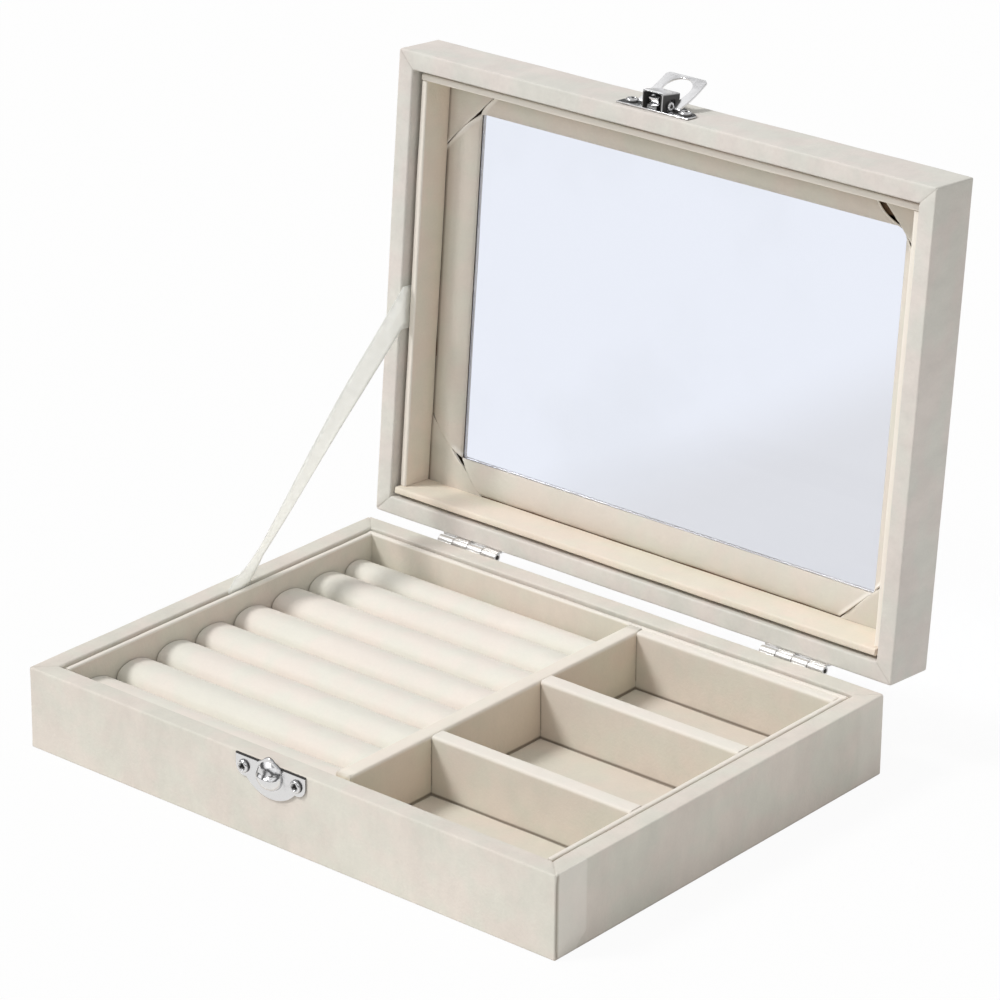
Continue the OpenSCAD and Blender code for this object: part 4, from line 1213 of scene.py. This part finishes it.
def makeCatch():
    look, thickness = catchLook, plateLook["thickness"]
    low, high = spanOf("catch_plate")
    edgeZ = spanOf("catch_screws")[0].z + screwLook["inset"] + plateLook["lobeDrop"]
    place = Matrix.Translation(Vector(((low.x + high.x) / 2, high.y, edgeZ)) * mm)
    bm = crescent()
    for soft in (-look["topSoft"], look["topSoft"]):
        cutAt(bm, (0, 0, -look["topShade"] - soft), (0, 0, 1))
    nose = turnedShape(look["profile"], 32)
    for v in nose.verts:  # the upper half is cut flatter, so that the flap's bar can hook over it
        if v.co.z > look["noseFrom"] * mm:
            v.co.y *= look["noseFlat"]
    moveBy(nose, (0, -thickness, -look["noseDrop"]))
    joined(bm, nose)
    tongue = bmesh.new()
    first, *others = look["tongue"]
    pen = Pen(tongue, *first)
    for spot in others:
        pen.line(*spot)
    pen.arc(0, look["tongueMiddle"], look["tongueSweep"], 12)
    pen.line(-others[1][0], others[1][1]).face()
    thicken(tongue, look["tongueThick"])
    roundEdges(tongue, frontEdges(tongue), look["tongueEdge"], 2)
    moveBy(tongue, (0, -thickness, 0))
    joined(bm, tongue)

    def grime(p):  # painted shade and dark reflection: a dark line along the plate's top edge and a thinner one round its outline
        if p.y < -thickness - 0.02:
            return 0.0
        return 1.0 if p.z > -look["topShade"] else look["outline"] * (p.y > -thickness + 0.1)
    makePiece("catchPlate", bm, latchNickel, "base", "latch_metal", ["catch_plate"], place, recess=grime)


def makeScrews(name, node, body, place):
    look = screwLook
    low, high = spanOf(node, shutLid if place else None)
    bm = bmesh.new()
    z = (low.z + high.z) / 2
    face = spanOf("catch_plate")[1].y - plateLook["thickness"]
    middles = low.x + look["inset"], high.x - look["inset"]
    for x in middles:
        head = turnedShape(look["profile"], look["steps"])
        for v in head.verts:  # the cross of the driver's recess
            if look["cross"][0] * mm < math.hypot(v.co.x, v.co.z) < look["cross"][1] * mm:
                factor = 1 + look["crossDepth"] * math.cos(4 * math.atan2(v.co.z, v.co.x) + 0.9)
                v.co.x, v.co.z = v.co.x * factor, v.co.z * factor
        moveBy(head, (x, face, z))
        joined(bm, head)

    def grime(p):  # painted shade in the driver's socket and round the head's edge
        radius = min(math.hypot(p.x - x, p.z - z) for x in middles)
        return 1.0 if radius < look["socket"] else look["grime"] * (radius > look["rim"])
    makePiece(name, bm, latchNickel, body, "latch_metal", [node], place, recess=grime)


def bentMetal(piece, thickness, offset, edge, segments):  # a sheet's thickness in mm, and its softened edges
    solidify(piece, "metal", thickness, offset)
    softEdges(piece, "edges", edge, segments)
    piece.modifiers.new("flatFaces", "WEIGHTED_NORMAL")


housingLook = {
    "wall": 0.5, "edge": 0.35, "inset": 0.1, "length": 8.6, "nearRise": 1.2, "riseFrom": 0.86,
    "arch": 3.4, "archMiddle": 4.6, "archTop": 3.1, "archRound": 1.1, "mouth": 6.2, "mouthTop": 4.3,
    "sideShade": 0.93, "endShade": 0.97,
}
springLook = {
    "course": [(0.15, 0.35), (1.25, 0.5), (1.5, 2.2), (1.9, 1.3), (3.3, 0.9), (3.7, 1.9)],
    "half": 1.7, "aside": -0.3, "thickness": 0.22, "edge": 0.05,
}


def makeSpring(midX, outY, endZ):  # the bent spring inside the housing, which snaps the flap to either side
    look = springLook
    bm = bmesh.new()
    start = midX + look["aside"] - look["half"]
    run = strung(bm, [(start, outY - out, endZ + deep) for out, deep in look["course"]])
    wide = bmesh.ops.extrude_edge_only(bm, edges=run)["geom"]
    bmesh.ops.translate(bm, vec=(look["half"] * 2 * mm, 0, 0), verts=only(wide, bmesh.types.BMVert))
    bmesh.ops.solidify(bm, geom=bm.faces[:], thickness=look["thickness"] * mm)
    outward(bm)
    roundEdges(bm, [e for e in bm.edges if e.is_manifold and e.calc_face_angle(0) > 1.2], look["edge"], 2)
    makePiece("latchSpring", bm, latchNickel, "lid", "latch_metal", (), openLid)


def makeHousing():
    look = housingLook
    low, high = spanOf("latch_housing", shutLid)
    low.z = spanOf("latch_plate", shutLid)[0].z + look["inset"]
    high.z = low.z + look["length"]
    bm = block(low, high)
    bmesh.ops.delete(bm, geom=[faceAt(bm, 1, high.y)], context="FACES_ONLY")
    roundEdges(bm, [e for e in bm.edges if e.is_manifold], look["edge"], 2)
    midX, halfX, archZ = (low.x + high.x) / 2, (high.x - low.x) / 2, low.z + look["archMiddle"]
    archY, mouthY = high.y - look["archTop"], high.y - look["mouthTop"]

    def side(c): return abs(c.x - midX) > halfX - 0.1
    def mouth(c): return c.z < low.z + 0.1
    for end in (-0.5, 0.5):
        cutAt(bm, (0, 0, archZ + end * look["arch"]), (0, 0, 1), side)
    cutAt(bm, (0, archY, 0), (0, 1, 0), side)
    for end in (-0.5, 0.5):
        cutAt(bm, (midX + end * look["mouth"], 0, 0), (1, 0, 0), mouth)
    cutAt(bm, (0, mouthY, 0), (0, 1, 0), mouth)

    def open(c):
        arch = side(c) and abs(c.z - archZ) < look["arch"] / 2 and c.y > archY
        return arch or mouth(c) and abs(c.x - midX) < look["mouth"] / 2 and c.y > mouthY
    bmesh.ops.delete(bm, geom=[f for f in bm.faces if open(f.calc_center_median() / mm)], context="FACES")
    bmesh.ops.bevel(
        bm, geom=[v for v in bm.verts if v.is_boundary and abs(v.co.y / mm - archY) < 0.05],
        offset=look["archRound"] * mm, offset_type="OFFSET", segments=4, profile=0.5,
        affect="VERTICES", material=-1,
    )
    for v in bm.verts:  # it stands higher at the edge of the lid than further in
        out = (high.y * mm - v.co.y) / ((high.y - low.y) * mm)
        rise = max(0.0, out - look["riseFrom"]) / (1 - look["riseFrom"])
        v.co.y -= look["nearRise"] * mm * rise * (high.z - v.co.z / mm) / look["length"]

    def grime(p):  # painted shade and dark reflection on its sides and end; its top and corners are left bright
        if p.z < low.z + 0.03:
            return look["endShade"]
        return look["sideShade"] * (abs(p.x - midX) > halfX - 0.03)
    node = "latch_housing"
    piece = makePiece(
        "latchHousing", bm, latchNickel, "lid", "latch_metal", [node], openLid, weighted=False, recess=grime,
    )
    bentMetal(piece, look["wall"], -1, 0.08, 1)
    makeSpring(midX, high.y, low.z)


flapLook = {
    "pinHalf": 7.9, "endHalf": 7.5, "endFlare": 0.12, "length": 15.0, "corner": 0.9,
    "window": 4.8, "bar": 1.15, "legHalf": 4.2, "thick": 0.6, "bow": 0.54, "lift": 0.5, "edge": 0.1,
    "eyeOut": 4.55,
    "eye": [
        (0.62, 0.45), (1.05, 0.45), (1.25, 0.3), (1.25, -0.3), (1.05, -0.45), (0.62, -0.45), (0.62, 0.45),
    ],
}


def cutLong(bm, edges, cuts):  # divides the long edges of an outline, so that the flap can be bowed
    bmesh.ops.subdivide_edges(bm, edges=[e for e in edges if e.calc_length() > 5 * mm], cuts=cuts)


def makeFlap():
    look = flapLook
    low, high = spanOf("latch_flap")
    length, corner, half = look["length"], look["corner"], look["endHalf"]
    bm = bmesh.new()
    outer = Pen(bm, -look["pinHalf"], 0).line(-half - look["endFlare"], -length + corner)
    outer.line(-half + corner, -length).line(half - corner, -length)
    outer.line(half + look["endFlare"], -length + corner).line(look["pinHalf"], 0)
    cutLong(bm, bm.edges[:], 7)
    outerEdges = bm.edges[:]
    centreZ = -length + look["bar"] + look["window"]
    inner = Pen(bm, -look["legHalf"], 0).line(-look["window"], centreZ)
    inner.arc(0, centreZ, 180, 16)
    inner.line(look["legHalf"], 0)
    cutLong(bm, [e for e in bm.edges if e not in outerEdges], 5)
    bmesh.ops.bridge_loops(bm, edges=bm.edges[:])
    facing(bm, 1)
    for v in bm.verts:  # bowed outwards along its length
        share = -v.co.z / (length * mm)
        v.co.y -= (look["bow"] * math.sin(math.pi * share) + look["lift"]) * mm
    pin = Matrix.Translation(Vector(((low.x + high.x) / 2 * mm, flapPin.y, flapPin.z)))
    place = openLid @ swingFlap @ pin
    node = "latch_flap"
    piece = makePiece("latchFlap", bm, latchNickel, "flap", "latch_metal", [node], place, weighted=False)
    bentMetal(piece, look["thick"], 0, look["edge"], 2)
    eyes = bmesh.new()
    for side in (-1, 1):
        ring = turnedShape(look["eye"], 24)
        bmesh.ops.rotate(ring, matrix=Matrix.Rotation(math.pi / 2, 3, "Z"), verts=ring.verts[:])
        moveBy(ring, (side * look["eyeOut"], 0, 0))
        joined(eyes, ring)
    makePiece("latchFlapEyes", eyes, latchNickel, "flap", "latch_metal", (), place)


makeCatch()
makeScrews("catchScrews", "catch_screws", "base", None)
low, high = spanOf("latch_plate", shutLid)
bm = crescent()
bmesh.ops.rotate(bm, matrix=Matrix.Rotation(math.pi, 3, "Y"), verts=bm.verts[:])
moveBy(bm, ((low.x + high.x) / 2, high.y, low.z))
makePiece("latchPlate", bm, latchNickel, "lid", "latch_metal", ["latch_plate"], openLid)
makeScrews("latchScrews", "latch_screws", "lid", openLid)
makeHousing()
makeFlap()
print("catch and latch made")

keptLooks = {  # finish and width of the softened edges in mm
    "board": (boardWood, 0.3), "bay_card": (bayCard, 0.2), "underside_sheet": (footSheet, 0.15),
    "hinge_metal": (hingeNickel, 0.18), "latch_metal": (pinSteel, 0.12),
}
for part in frame["record"]["subparts"]:
    node = nodes[part["node"]]
    if node.hide_render or part["material_slot"] not in keptLooks:
        continue
    finish, width = keptLooks[part["material_slot"]]
    if part["node"].endswith("_pin"):
        finish = pinSteel
    node.data.materials.clear()
    node.data.materials.append(finish)
    weld = node.modifiers.new("weld", "WELD")
    weld.merge_threshold = 0.005 * mm
    edge = softEdges(node, "edge", width, 2)
    edge.angle_limit, edge.use_clamp_overlap = math.radians(40), True
print("kept pieces finished")

stageLook = {"size": 6.0, "white": 0.94, "floorColour": (0.8, 0.795, 0.785)}


def makeStage():
    material, finish = newFinish("floorPaper")
    finish.set(Base_Color=(*stageLook["floorColour"], 1), Roughness=0.9, Specular_IOR_Level=0.1)
    glow = finish.node("Emission", None, {"Color": (1, 1, 1, 1), "Strength": 1.0})
    finish.mixWith(finish.ray("Camera").most(finish.ray("Transmission")) * stageLook["white"], glow)
    bm = bmesh.new()
    bmesh.ops.create_grid(bm, x_segments=4, y_segments=4, size=stageLook["size"] / 2)
    floor = addObject("floor", meshOf(bm, "floor", material))
    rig.stage(floor)


lightLook = {
    "sunWay": (-0.45, -0.51, 0.735), "sun": 1.95, "sunAngle": 15, "room": (0.58, 0.58, 0.58, 1),
    # what the metal and the pane mirror: height from the floor to the zenith, and grey tone
    "panels": [
        (0.0, 0.9), (0.46, 0.75), (0.53, 0.12), (0.64, 0.06),
        (0.74, 0.85), (0.86, 1.0), (0.93, 0.25), (1.0, 0.6),
    ],
}


def makeLight():
    sun = bpy.data.lights.new("key", "SUN")
    sun.energy, sun.angle = lightLook["sun"], math.radians(lightLook["sunAngle"])
    lamp = addObject("key", sun)
    lamp.rotation_mode = "QUATERNION"
    lamp.rotation_quaternion = Vector(lightLook["sunWay"]).to_track_quat("Z", "Y")
    world = bpy.data.worlds.new("studio")
    world.use_nodes = True
    bpy.context.scene.world = world
    sky = Finish(world.node_tree, "Background")
    way = sky.node("TexCoord", out="Generated")
    height = sky.node("SeparateXYZ", None, {0: way}, 2)
    soft = sky.noise(way, 450, 1)
    bands = {"stops": lightLook["panels"]}
    panels = sky.node("ValToRGB", bands, {0: height * 0.5 + 0.5 + soft * 0.3})
    room = sky.blend(sky.ray("Glossy"), lightLook["room"], panels)
    seen = sky.ray("Camera").most(sky.ray("Transmission"))
    sky.set(Color=sky.blend(seen, room, (1, 1, 1, 1)), Strength=1.0)


cameraLook = {
    "place": (0.758615, -0.886332, 0.575791), "azimuth": 39.933, "elevation": 22.894, "roll": 0.501,
    "lens": 159.13, "sensor": 36,
}


def makeCamera():
    look = cameraLook
    turn, rise, roll = (math.radians(look[key]) for key in ("azimuth", "elevation", "roll"))
    back = Vector((math.sin(turn) * math.cos(rise), -math.cos(turn) * math.cos(rise), math.sin(rise)))
    right = (-back).cross(Vector((0, 0, 1))).normalized()
    up = back.cross(right)
    axes = (right * math.cos(roll) + up * math.sin(roll), up * math.cos(roll) - right * math.sin(roll), back)
    data = bpy.data.cameras.new("camera")
    data.lens, data.sensor_width = look["lens"], look["sensor"]
    camera = addObject("camera", data)
    camera.matrix_world = Matrix.Translation(Vector(look["place"])) @ Matrix(axes).transposed().to_4x4()
    bpy.context.scene.camera = camera


makeStage()
makeLight()
makeCamera()
bpy.context.scene.view_settings.view_transform = "Standard"
print("stage, light and camera made")

with open("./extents.json", "w") as sizes:
    json.dump({"cad": [list(c) for c in cadBox], "visual": [list(c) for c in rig.bounds()]}, sizes)
